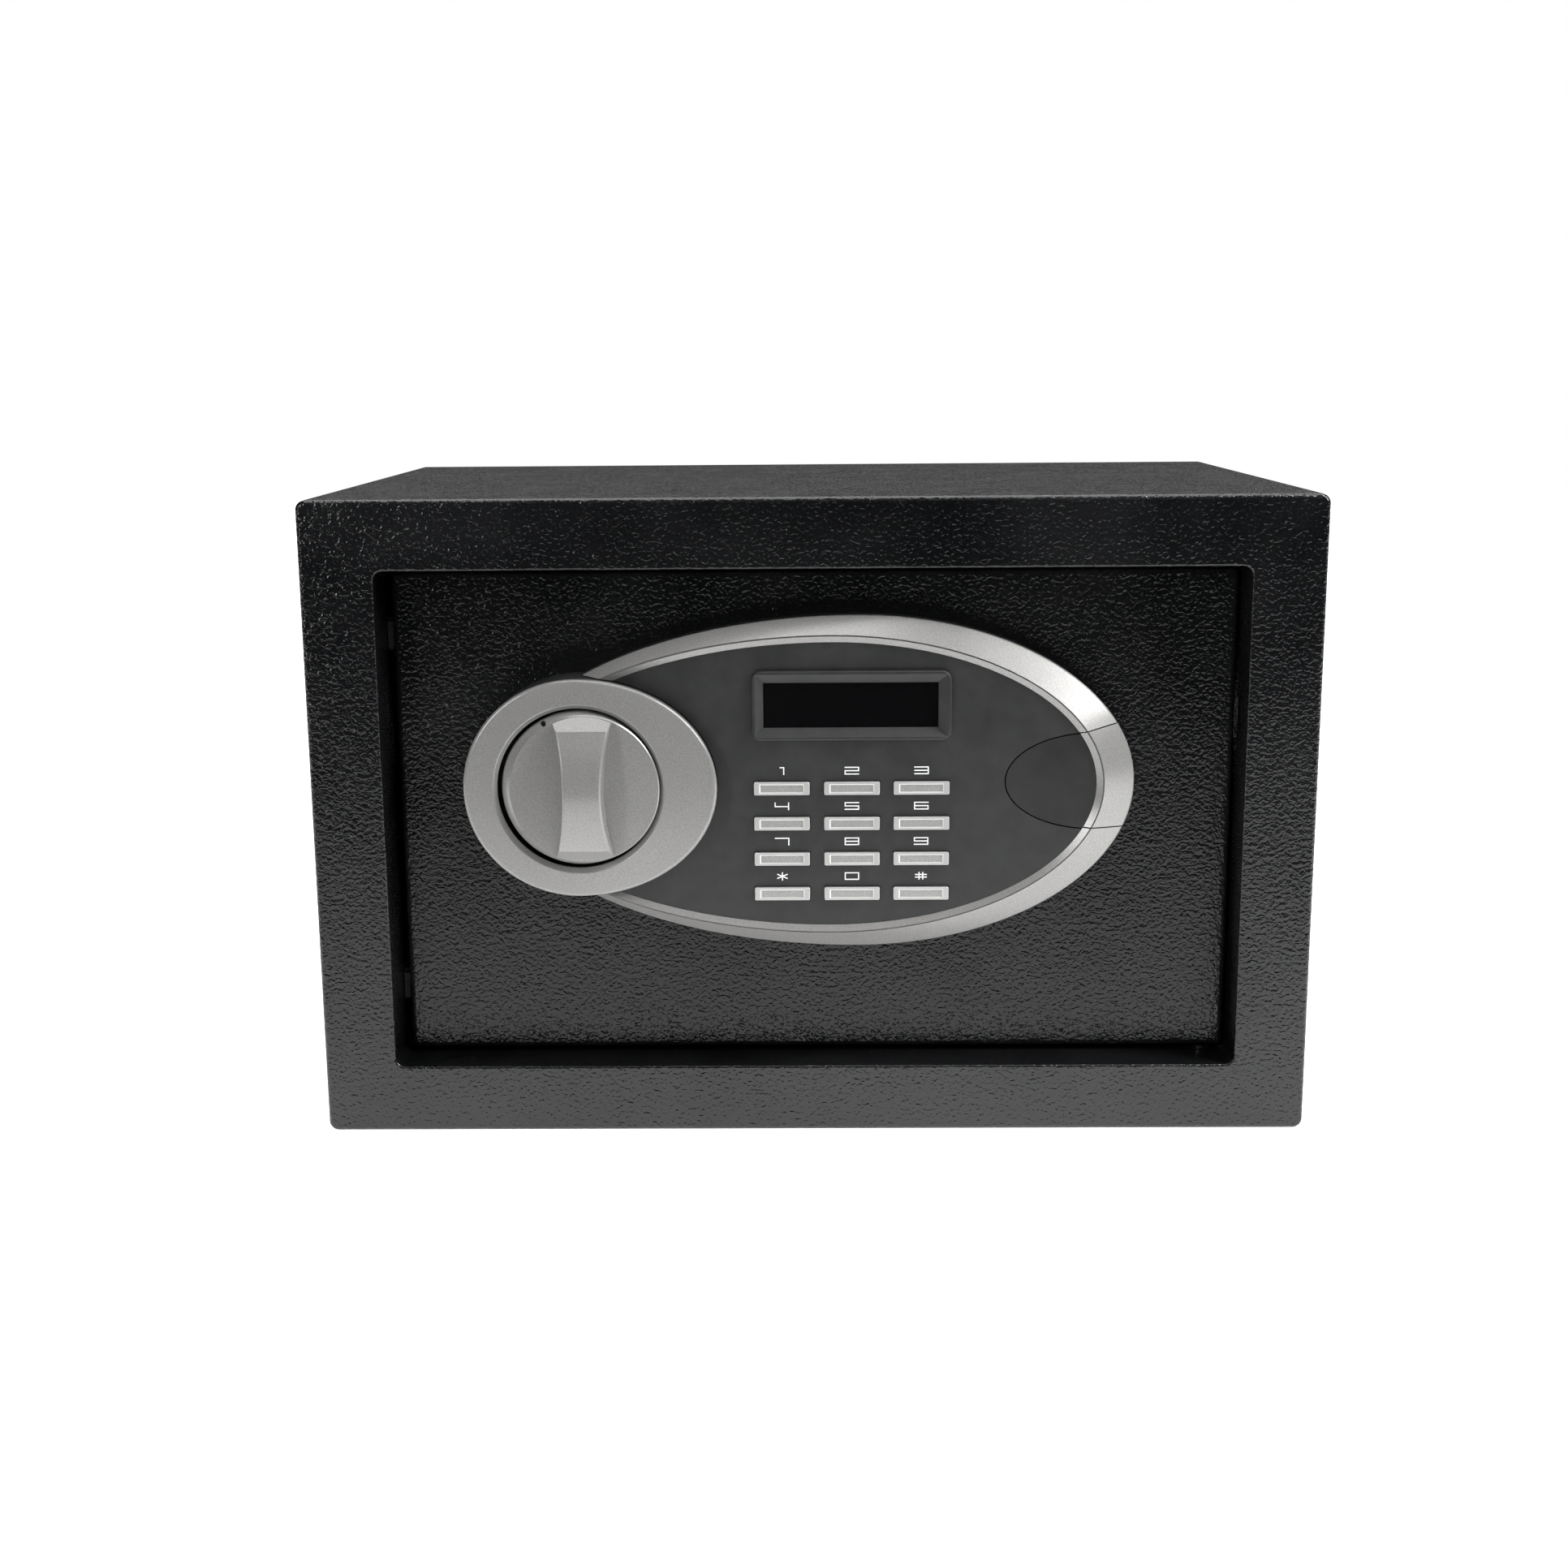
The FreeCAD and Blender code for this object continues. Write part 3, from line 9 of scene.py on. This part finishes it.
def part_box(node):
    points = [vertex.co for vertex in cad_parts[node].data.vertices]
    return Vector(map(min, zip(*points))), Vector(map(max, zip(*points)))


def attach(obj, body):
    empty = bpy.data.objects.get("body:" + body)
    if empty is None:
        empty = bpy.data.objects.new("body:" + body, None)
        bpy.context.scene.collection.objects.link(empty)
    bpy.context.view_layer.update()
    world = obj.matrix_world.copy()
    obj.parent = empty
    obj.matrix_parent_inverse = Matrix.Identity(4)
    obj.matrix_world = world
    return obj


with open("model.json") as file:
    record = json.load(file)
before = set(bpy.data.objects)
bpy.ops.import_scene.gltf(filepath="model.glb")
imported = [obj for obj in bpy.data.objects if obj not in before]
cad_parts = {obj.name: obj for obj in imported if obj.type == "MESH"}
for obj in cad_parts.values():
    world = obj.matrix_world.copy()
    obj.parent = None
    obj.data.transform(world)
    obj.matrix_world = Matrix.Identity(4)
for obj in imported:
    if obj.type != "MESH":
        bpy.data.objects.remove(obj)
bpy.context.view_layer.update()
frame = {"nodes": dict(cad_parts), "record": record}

NODES = frame["nodes"]
MM = 0.001


# ---------------------------------------------------------------- camera (mm, radians, m)

SENSOR = 36.0
LENS = 46.3398
PITCH = math.radians(11.79)
YAW = math.radians(-0.79)
ROLL = math.radians(0.45)
CAMERA_PLACE = (-0.0004, -0.7070, 0.2393)


def add_camera():
    """Camera in front of the safe, a little above it and tipped down towards it."""
    cp, sp, cy, sy = math.cos(PITCH), math.sin(PITCH), math.cos(YAW), math.sin(YAW)
    forward = Vector((cp * sy, cp * cy, -sp))
    right = Vector((cy, -sy, 0))
    up = Vector((sp * sy, sp * cy, cp))
    turned_right = math.cos(ROLL) * right - math.sin(ROLL) * up
    turned_up = math.sin(ROLL) * right + math.cos(ROLL) * up
    data = bpy.data.cameras.new("camera")
    data.sensor_width = SENSOR
    data.lens = LENS
    camera = bpy.data.objects.new("camera", data)
    axes = Matrix((turned_right, turned_up, -forward)).transposed().to_4x4()
    camera.matrix_world = Matrix.Translation(CAMERA_PLACE) @ axes
    bpy.context.scene.collection.objects.link(camera)
    bpy.context.scene.camera = camera


# ---------------------------------------------------------------- light

# Name, place, target, width, height and watts of each soft light.
LIGHTS = (
    ("overhead", (0.0, 0.0, 0.95), (0.0, -0.05, 0.0), 0.75, 0.75, 6.0),
    ("rear", (0.0, 1.9, 1.5), (0.0, 1.5, 0.0), 3.0, 2.0, 27.0),
    ("window", (0.63, -0.33, 0.69), (0.065, -0.097, 0.145), 0.22, 0.66, 9.5),
    ("fill", (0.10, -0.95, 0.80), (0.0, -0.1, 0.1), 0.6, 0.6, 0.6),
    ("left_strip", (-0.62, -0.75, 0.42), (-0.08, -0.11, 0.12), 0.14, 0.50, 2.3),
)

# The room's brightness rises from its front (low) to its back (high).
ROOM_DARK, ROOM_PALE = 0.012, 0.078
ROOM_FADE_FROM, ROOM_FADE_TO = -0.35, 0.55

FLOOR_HALF = 2.5
FLOOR_FRONT = -0.50
FLOOR_REAR = 3.0
FLOOR_ROUGH = 0.8
FLOOR_DARK = (0.90, 0.90, 0.90)
FLOOR_PALE = (0.94, 0.94, 0.94)
FLOOR_CLOUD = 6.0
GLOW_FULL = -0.13
GLOW_CURVE = 2.0
GLOW_LOW, GLOW_HIGH = 0.03, 1.18


def add_area(name, place, target, width, height, watts):
    data = bpy.data.lights.new(name, "AREA")
    data.shape = "RECTANGLE"
    data.size, data.size_y = width, height
    data.energy = watts
    light = bpy.data.objects.new(name, data)
    light.location = place
    aim = Vector(target) - Vector(place)
    light.rotation_euler = aim.to_track_quat("-Z", "Y").to_euler()
    light.visible_camera = False
    bpy.context.scene.collection.objects.link(light)


def add_world():
    """Pale studio behind the safe, dark room in front of it; plain white where nothing stands."""
    world = bpy.data.worlds.new("studio")
    world.use_nodes = True
    bpy.context.scene.world = world
    tree = world.node_tree
    tree.nodes.clear()
    place = tree.nodes.new("ShaderNodeTexCoord")
    split = tree.nodes.new("ShaderNodeSeparateXYZ")
    ramp = tree.nodes.new("ShaderNodeMapRange")
    ramp.interpolation_type = "SMOOTHSTEP"
    ramp.inputs["From Min"].default_value = ROOM_FADE_FROM
    ramp.inputs["From Max"].default_value = ROOM_FADE_TO
    ramp.inputs["To Min"].default_value = ROOM_DARK
    ramp.inputs["To Max"].default_value = ROOM_PALE
    room = tree.nodes.new("ShaderNodeBackground")
    plain = tree.nodes.new("ShaderNodeBackground")
    plain.inputs["Color"].default_value = (1, 1, 1, 1)
    path = tree.nodes.new("ShaderNodeLightPath")
    mix = tree.nodes.new("ShaderNodeMixShader")
    out = tree.nodes.new("ShaderNodeOutputWorld")
    link = tree.links.new
    link(place.outputs["Generated"], split.inputs[0])
    link(split.outputs["Y"], ramp.inputs["Value"])
    link(ramp.outputs["Result"], room.inputs["Color"])
    link(path.outputs["Is Camera Ray"], mix.inputs[0])
    link(room.outputs[0], mix.inputs[1])
    link(plain.outputs[0], mix.inputs[2])
    link(mix.outputs[0], out.inputs["Surface"])


def add_floor():
    """Pale floor with its own glow, which fades towards the camera."""
    mesh = bpy.data.meshes.new("floor")
    corners = [
        (-FLOOR_HALF, FLOOR_FRONT, 0), (FLOOR_HALF, FLOOR_FRONT, 0),
        (FLOOR_HALF, FLOOR_REAR, 0), (-FLOOR_HALF, FLOOR_REAR, 0),
    ]
    mesh.from_pydata(corners, [], [(0, 1, 2, 3)])
    floor = bpy.data.objects.new("floor", mesh)
    bpy.context.scene.collection.objects.link(floor)
    shader = Shader("floor_white", (0.92, 0.92, 0.92), FLOOR_ROUGH)
    shader.set("Emission Color", (1, 1, 1, 1))
    shader.vary_colour(FLOOR_DARK, FLOOR_PALE, FLOOR_CLOUD)
    near = shader.spread(shader.object_axis("Y"), FLOOR_FRONT, GLOW_FULL)
    power = shader.tree.nodes.new("ShaderNodeMath")
    power.operation = "POWER"
    power.inputs[1].default_value = GLOW_CURVE
    shader.link(near, power.inputs[0])
    glow = shader.spread(power.outputs[0], 0.0, 1.0, GLOW_LOW, GLOW_HIGH)
    shader.link(glow, shader.surface.inputs["Emission Strength"])
    mesh.materials.append(shader.material)


# ---------------------------------------------------------------- materials

# The middle of a noise texture's range, where most of its values lie.
NOISE_LOW, NOISE_HIGH = 0.35, 0.65


class Shader:
    """A Principled material whose textures run in the object's own metres."""

    def __init__(self, name, colour, roughness, **values):
        self.material = bpy.data.materials.new(name)
        self.material.use_nodes = True
        self.tree = self.material.node_tree
        self.surface = self.tree.nodes["Principled BSDF"]
        self.set("Base Color", (*colour, 1))
        self.set("Roughness", roughness)
        for socket, value in values.items():
            self.set(socket.replace("_", " "), value)
        self.place = self.tree.nodes.new("ShaderNodeTexCoord")
        self.last_bump = None

    def set(self, socket, value):
        self.surface.inputs[socket].default_value = value

    def link(self, a, b):
        self.tree.links.new(a, b)

    def stretched(self, stretch):
        if stretch is None:
            return self.place.outputs["Object"]
        node = self.tree.nodes.new("ShaderNodeMapping")
        node.inputs["Scale"].default_value = stretch
        self.link(self.place.outputs["Object"], node.inputs["Vector"])
        return node.outputs["Vector"]

    def object_axis(self, axis):
        split = self.tree.nodes.new("ShaderNodeSeparateXYZ")
        self.link(self.place.outputs["Object"], split.inputs[0])
        return split.outputs[axis]

    def noise(self, scale, detail=2.0, rough=0.5, distortion=0.0, stretch=None):
        node = self.tree.nodes.new("ShaderNodeTexNoise")
        node.inputs["Scale"].default_value = scale
        node.inputs["Detail"].default_value = detail
        node.inputs["Roughness"].default_value = rough
        node.inputs["Distortion"].default_value = distortion
        self.link(self.stretched(stretch), node.inputs["Vector"])
        return node.outputs["Fac"]

    def spread(self, value, low, high, to_low=0.0, to_high=1.0):
        node = self.tree.nodes.new("ShaderNodeMapRange")
        node.inputs["From Min"].default_value = low
        node.inputs["From Max"].default_value = high
        node.inputs["To Min"].default_value = to_low
        node.inputs["To Max"].default_value = to_high
        self.link(value, node.inputs["Value"])
        return node.outputs["Result"]

    def vary_colour(self, dark, pale, scale, detail=3.0):
        fac = self.spread(self.noise(scale, detail), NOISE_LOW, NOISE_HIGH)
        self.link(self.blend(fac, dark, pale), self.surface.inputs["Base Color"])

    def blend(self, fac, first, second):
        mix = self.tree.nodes.new("ShaderNodeMix")
        mix.data_type = "RGBA"
        for key, value in (("A", first), ("B", second)):
            if isinstance(value, tuple):
                mix.inputs[key].default_value = (*value, 1)
            else:
                self.link(value, mix.inputs[key])
        self.link(fac, mix.inputs["Factor"])
        return mix.outputs["Result"]

    def vary_roughness(self, low, high, scale, detail=3.0):
        value = self.spread(self.noise(scale, detail), NOISE_LOW, NOISE_HIGH, low, high)
        self.link(value, self.surface.inputs["Roughness"])

    def bump(self, height, strength, depth):
        node = self.tree.nodes.new("ShaderNodeBump")
        node.inputs["Strength"].default_value = strength
        node.inputs["Distance"].default_value = depth
        self.link(height, node.inputs["Height"])
        if self.last_bump is not None:
            self.link(self.last_bump.outputs["Normal"], node.inputs["Normal"])
        self.link(node.outputs["Normal"], self.surface.inputs["Normal"])
        self.last_bump = node


PEBBLE_SCALE = 720.0
PEBBLE_STRETCH = (1.0, 1.0, 1.15)
PEBBLE_DEPTH = 0.33 * MM
PEBBLE_GRAIN_SCALE = 1900.0
PEBBLE_GRAIN_DEPTH = 0.025 * MM


def pebble_coat(name, gloss):
    """Glossy black powder coat with a pebbled skin."""
    s = Shader(name, (0.006, 0.0063, 0.0067), 0.14, Specular_IOR_Level=gloss)
    s.vary_colour((0.004, 0.0043, 0.0047), (0.009, 0.0094, 0.010), 25.0)
    s.vary_roughness(0.11, 0.19, 60.0)
    s.bump(s.noise(PEBBLE_SCALE, 1.0, 0.5, 0.5, stretch=PEBBLE_STRETCH), 1.0, PEBBLE_DEPTH)
    s.bump(s.noise(PEBBLE_GRAIN_SCALE, 1.0, 0.5, 0.3), 1.0, PEBBLE_GRAIN_DEPTH)
    return s.material


SILVER_TINT = (1.0, 0.99, 0.965)
SILVER_ROUGH = 0.23
SILVER_METAL = 0.25


def silver_lacquer(name, tone):
    """Satin silver paint with a fine flake."""
    colour = tuple(tone * c for c in SILVER_TINT)
    s = Shader(name, colour, SILVER_ROUGH, Metallic=SILVER_METAL)
    s.vary_colour(tuple(0.90 * c for c in colour), tuple(1.10 * c for c in colour), 2600.0, 1.0)
    s.vary_roughness(SILVER_ROUGH - 0.01, SILVER_ROUGH + 0.02, 900.0)
    s.bump(s.noise(3200.0, 1.0), 0.2, 0.02 * MM)
    return s.material


# Depths below the key's face, between which the paint changes from rim to a painted highlight on the
# slopes to painted shade in the hollow.
KEY_HIGHLIGHT_FROM, KEY_HIGHLIGHT_TO = 0.02 * MM, 0.08 * MM
KEY_SHADE_FROM, KEY_SHADE_TO = 0.28 * MM, 0.34 * MM
# Colours: the rim, the slopes' painted highlight, and the hollow's painted shade in two grain tones.
KEY_RIM = (0.46, 0.46, 0.45)
KEY_SLOPE_HIGHLIGHT = (0.68, 0.68, 0.67)
KEY_HOLLOW_SHADE_DARK = (0.30, 0.30, 0.29)
KEY_HOLLOW_SHADE_PALE = (0.42, 0.42, 0.41)


def key_lacquer_with_painted_light():
    """Pale rim, slopes paler still with a painted highlight, round a hollow darkened with painted shade
    and a fine grain.
    """
    s = Shader("key_metallic", (0.50, 0.50, 0.49), 0.3, Metallic=0.2)
    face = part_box("key_5")[0].y
    depth = s.object_axis("Y")
    grain = s.spread(s.noise(2600.0, 2.0), NOISE_LOW, NOISE_HIGH)
    # Painted shade: the hollow is darker than the rim, with a fine grain.
    hollow = s.blend(grain, KEY_HOLLOW_SHADE_DARK, KEY_HOLLOW_SHADE_PALE)
    # Painted highlight: the slopes are paler than the rim.
    toward_highlight = s.spread(depth, face + KEY_HIGHLIGHT_FROM, face + KEY_HIGHLIGHT_TO)
    rim = s.blend(toward_highlight, KEY_RIM, KEY_SLOPE_HIGHLIGHT)
    into_shade = s.spread(depth, face + KEY_SHADE_FROM, face + KEY_SHADE_TO)
    s.link(s.blend(into_shade, rim, hollow), s.surface.inputs["Base Color"])
    s.vary_roughness(0.28, 0.34, 900.0)
    s.bump(s.noise(3000.0, 2.0), 0.2, 0.03 * MM)
    return s.material


MOULDED_GRAIN = 0.35


def moulded_dark(name, tone, rough):
    """Dark plastic with the fine grain of its mould."""
    s = Shader(name, (tone,) * 3, rough, Specular_IOR_Level=0.5)
    dark = tuple(k * tone for k in (0.85, 0.87, 0.89))
    pale = tuple(k * tone for k in (1.15, 1.17, 1.2))
    s.vary_colour(dark, pale, 180.0, 5.0)
    s.vary_roughness(rough - 0.05, rough + 0.07, 70.0)
    s.bump(s.noise(2600.0, 2.0), MOULDED_GRAIN, 0.05 * MM)
    return s.material


def gloss_dark(name):
    """Smooth near-black window."""
    s = Shader(name, (0.003, 0.003, 0.0035), 0.06, Coat_Weight=0.3)
    s.vary_roughness(0.04, 0.12, 50.0)
    s.bump(s.noise(60.0, 1.0), 0.05, 0.02 * MM)
    return s.material


def plated(name, colour, rough):
    """Plated or bare metal with faint handling marks."""
    s = Shader(name, colour, rough, Metallic=1.0)
    s.vary_colour(tuple(0.85 * c for c in colour), tuple(1.1 * c for c in colour), 60.0, 4.0)
    s.vary_roughness(max(0.05, rough - 0.08), rough + 0.1, 300.0, 4.0)
    s.bump(s.noise(1500.0, 3.0), 0.2, 0.02 * MM)
    return s.material


def carpet():
    s = Shader("floor_carpet", (0.02, 0.02, 0.022), 0.95, Sheen_Weight=0.4)
    s.vary_colour((0.012, 0.012, 0.014), (0.05, 0.05, 0.055), 1400.0, 4.0)
    s.bump(s.noise(1300.0, 4.0, 0.7), 1.0, 0.9 * MM)
    return s.material


def soft_rubber(name, tone):
    s = Shader(name, (tone,) * 3, 0.75)
    s.vary_colour((0.8 * tone,) * 3, (1.3 * tone,) * 3, 400.0)
    s.vary_roughness(0.65, 0.85, 150.0)
    s.bump(s.noise(1800.0, 2.0), 0.3, 0.06 * MM)
    return s.material


def painted(name, dark, pale, rough, scale=300.0):
    s = Shader(name, dark, rough)
    s.vary_colour(dark, pale, scale)
    s.vary_roughness(rough - 0.05, rough + 0.08, 120.0)
    s.bump(s.noise(900.0, 2.0), 0.2, 0.03 * MM)
    return s.material


MATERIALS = {
    "black_coat": pebble_coat("black_coat", 0.44),
    "floor_carpet": carpet(),
    "black_rubber": soft_rubber("black_rubber", 0.008),
    "dark_plastic": moulded_dark("dark_plastic", 0.020, 0.45),
    "silver_finish": silver_lacquer("silver_finish", 0.29),
    "display_glass": gloss_dark("display_glass"),
    "display_body": moulded_dark("display_body", 0.05, 0.5),
    "board_green": painted("board_green", (0.01, 0.07, 0.03), (0.015, 0.11, 0.045), 0.35),
    "key_metallic": key_lacquer_with_painted_light(),
    "zinc_steel": plated("zinc_steel", (0.55, 0.56, 0.57), 0.32),
    "spring_steel": plated("spring_steel", (0.5, 0.5, 0.5), 0.25),
    "bright_steel": plated("bright_steel", (0.62, 0.62, 0.62), 0.16),
    "bronze": plated("bronze", (0.55, 0.36, 0.16), 0.4),
    "lock_chrome": plated("lock_chrome", (0.62, 0.62, 0.62), 0.14),
    "lead_sheath": soft_rubber("lead_sheath", 0.03),
    "cell_jacket": painted("cell_jacket", (0.03, 0.03, 0.035), (0.05, 0.05, 0.055), 0.3),
    "red_button": painted("red_button", (0.45, 0.015, 0.015), (0.6, 0.03, 0.025), 0.3),
}


def dress_cad_nodes():
    for node in NODES.values():
        for held in node.material_slots:
            held.material = MATERIALS[held.material.name.split(".")[0]]
    own = {
        "end_cap_cover": moulded_dark("lens_plastic", 0.0145, 0.4),
        # The door stops are made near-black as painted shade in the door gap.
        "door_stops": soft_rubber("stop_painted_shade", 0.006),
        "door_plate": pebble_coat("door_coat", 0.33),
        "hinge_pivots": pebble_coat("pivot_coat", 0.33),
    }
    for name, material in own.items():
        for held in NODES[name].material_slots:
            held.material = material


# ---------------------------------------------------------------- key legends

STROKE = 0.36
GLYPH_W = 4.5
GLYPH_H = 2.45
LEGEND_RISE = 5.4
LEGEND_PROUD = 0.04
LEGEND_LAYER = 0.002
LIP_ZONE = 2.5 * MM

# Strokes of each legend as (x0, z0, x1, z1) in a box one unit wide and one high.
GLYPHS = {
    "key_1": [(0.40, 1, 0.66, 1), (0.66, 1, 0.66, 0)],
    "key_2": [(0, 1, 1, 1), (1, 1, 1, 0.5), (1, 0.5, 0, 0.5), (0, 0.5, 0, 0), (0, 0, 1, 0)],
    "key_3": [(0, 1, 1, 1), (1, 1, 1, 0), (1, 0, 0, 0), (0, 0.5, 1, 0.5)],
    "key_4": [(0, 1, 0, 0.45), (0, 0.45, 1, 0.45), (1, 1, 1, 0)],
    "key_5": [(1, 1, 0, 1), (0, 1, 0, 0.5), (0, 0.5, 1, 0.5), (1, 0.5, 1, 0), (1, 0, 0, 0)],
    "key_6": [(1, 1, 0, 1), (0, 1, 0, 0), (0, 0, 1, 0), (1, 0, 1, 0.5), (1, 0.5, 0, 0.5)],
    "key_7": [(0, 1, 1, 1), (1, 1, 1, 0)],
    "key_8": [(0, 1, 1, 1), (1, 1, 1, 0), (1, 0, 0, 0), (0, 0, 0, 1), (0, 0.5, 1, 0.5)],
    "key_9": [(0, 0, 1, 0), (1, 0, 1, 1), (1, 1, 0, 1), (0, 1, 0, 0.5), (0, 0.5, 1, 0.5)],
    "key_0": [(0, 0, 1, 0), (1, 0, 1, 1), (1, 1, 0, 1), (0, 1, 0, 0)],
    "key_star": [(0.5, 1.05, 0.5, -0.05), (0.15, 0.8, 0.85, 0.2), (0.15, 0.2, 0.85, 0.8)],
    "key_hash": [(0.1, 0.70, 0.9, 0.70), (0.1, 0.30, 0.9, 0.30), (0.36, 1, 0.36, 0), (0.64, 1, 0.64, 0)],
}


def stroke_outline(x0, z0, x1, z1):
    a, b = Vector((x0, z0)), Vector((x1, z1))
    along = (b - a).normalized() * STROKE / 2 * MM
    side = Vector((-along.y, along.x))
    return [a - along - side, b + along - side, b + along + side, a - along + side]


def add_legends():
    """White printed legends above the keys, a thin film of ink on the fascia."""
    ink = painted("legend_ink", (0.90, 0.90, 0.89), (0.97, 0.97, 0.96), 0.45, 900.0)
    for key, strokes in GLYPHS.items():
        low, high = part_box(key)
        centre_x = (low.x + high.x) / 2
        centre_z = (low.z + high.z) / 2 + LEGEND_RISE * MM
        mesh = bpy.data.meshes.new("legend_" + key)
        bm = bmesh.new()
        for i, (x0, z0, x1, z1) in enumerate(strokes):
            ends = []
            for x, z in ((x0, z0), (x1, z1)):
                ends.append(centre_x + (x - 0.5) * (GLYPH_W - STROKE) * MM)
                ends.append(centre_z + (z - 0.5) * (GLYPH_H - STROKE) * MM)
            front = FASCIA_FACE - (LEGEND_PROUD + LEGEND_LAYER * i) * MM
            outline = stroke_outline(*ends)
            near = [bm.verts.new((p.x, front, p.y)) for p in outline]
            far = [bm.verts.new((p.x, FASCIA_FACE, p.y)) for p in outline]
            bm.faces.new(near)
            bm.faces.new(list(reversed(far)))
            for j in range(4):
                k = (j + 1) % 4
                bm.faces.new((near[k], near[j], far[j], far[k]))
        bmesh.ops.recalc_face_normals(bm, faces=bm.faces)
        bm.to_mesh(mesh)
        bm.free()
        mesh.materials.append(ink)
        piece = bpy.data.objects.new("legend_" + key, mesh)
        bpy.context.scene.collection.objects.link(piece)
        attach(piece, "door")


def fascia_face():
    """Depth of the fascia's flat face, where most of its forward vertices lie."""
    counts = {}
    for v in NODES["keypad_fascia"].data.vertices:
        y = round(v.co.y, 6)
        counts[y] = counts.get(y, 0) + 1
    front = [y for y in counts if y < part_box("keypad_fascia")[0].y + LIP_ZONE]
    return max(front, key=lambda y: counts[y])


FASCIA_FACE = fascia_face()


# ---------------------------------------------------------------- index dot

DOT_R = 0.74
DOT_ANGLE = 120.5
DOT_REACH = 23.5
FACE_SHIFT = 1.5
DOT_DEEP = 2.45
DOT_SHALLOW = 1.7
DOT_SIDES = 32


def add_index_dot():
    """Near-black disc that lies in the knob's drilled index dot and turns with the knob."""
    joints = frame["record"]["behaviour"]["joints"]
    pivot = next(j["pos_m"] for j in joints if j["name"] == "knob_turn")
    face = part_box("knob_plate")[0].y
    turn = math.radians(DOT_ANGLE)
    x = pivot[0] + (FACE_SHIFT + DOT_REACH * math.cos(turn)) * MM
    z = pivot[2] + DOT_REACH * math.sin(turn) * MM
    y = face + (DOT_SHALLOW + DOT_DEEP) / 2 * MM
    bm = bmesh.new()
    bmesh.ops.create_cone(
        bm, cap_ends=True, segments=DOT_SIDES, radius1=DOT_R * MM, radius2=DOT_R * MM,
        depth=(DOT_DEEP - DOT_SHALLOW) * MM,
        matrix=Matrix.Translation((x, y, z)) @ Matrix.Rotation(math.pi / 2, 4, "X"),
    )
    mesh = bpy.data.meshes.new("index_dot")
    bm.to_mesh(mesh)
    bm.free()
    mesh.materials.append(painted("index_dot_black", (0.004, 0.004, 0.004), (0.008, 0.008, 0.008), 0.5))
    piece = bpy.data.objects.new("index_dot", mesh)
    bpy.context.scene.collection.objects.link(piece)
    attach(piece, "knob_turning")


add_camera()
add_world()
add_floor()
for light in LIGHTS:
    add_area(*light)
dress_cad_nodes()
add_legends()

add_index_dot()

scene = bpy.context.scene
scene.view_settings.view_transform = "Standard"
scene.view_settings.look = "None"
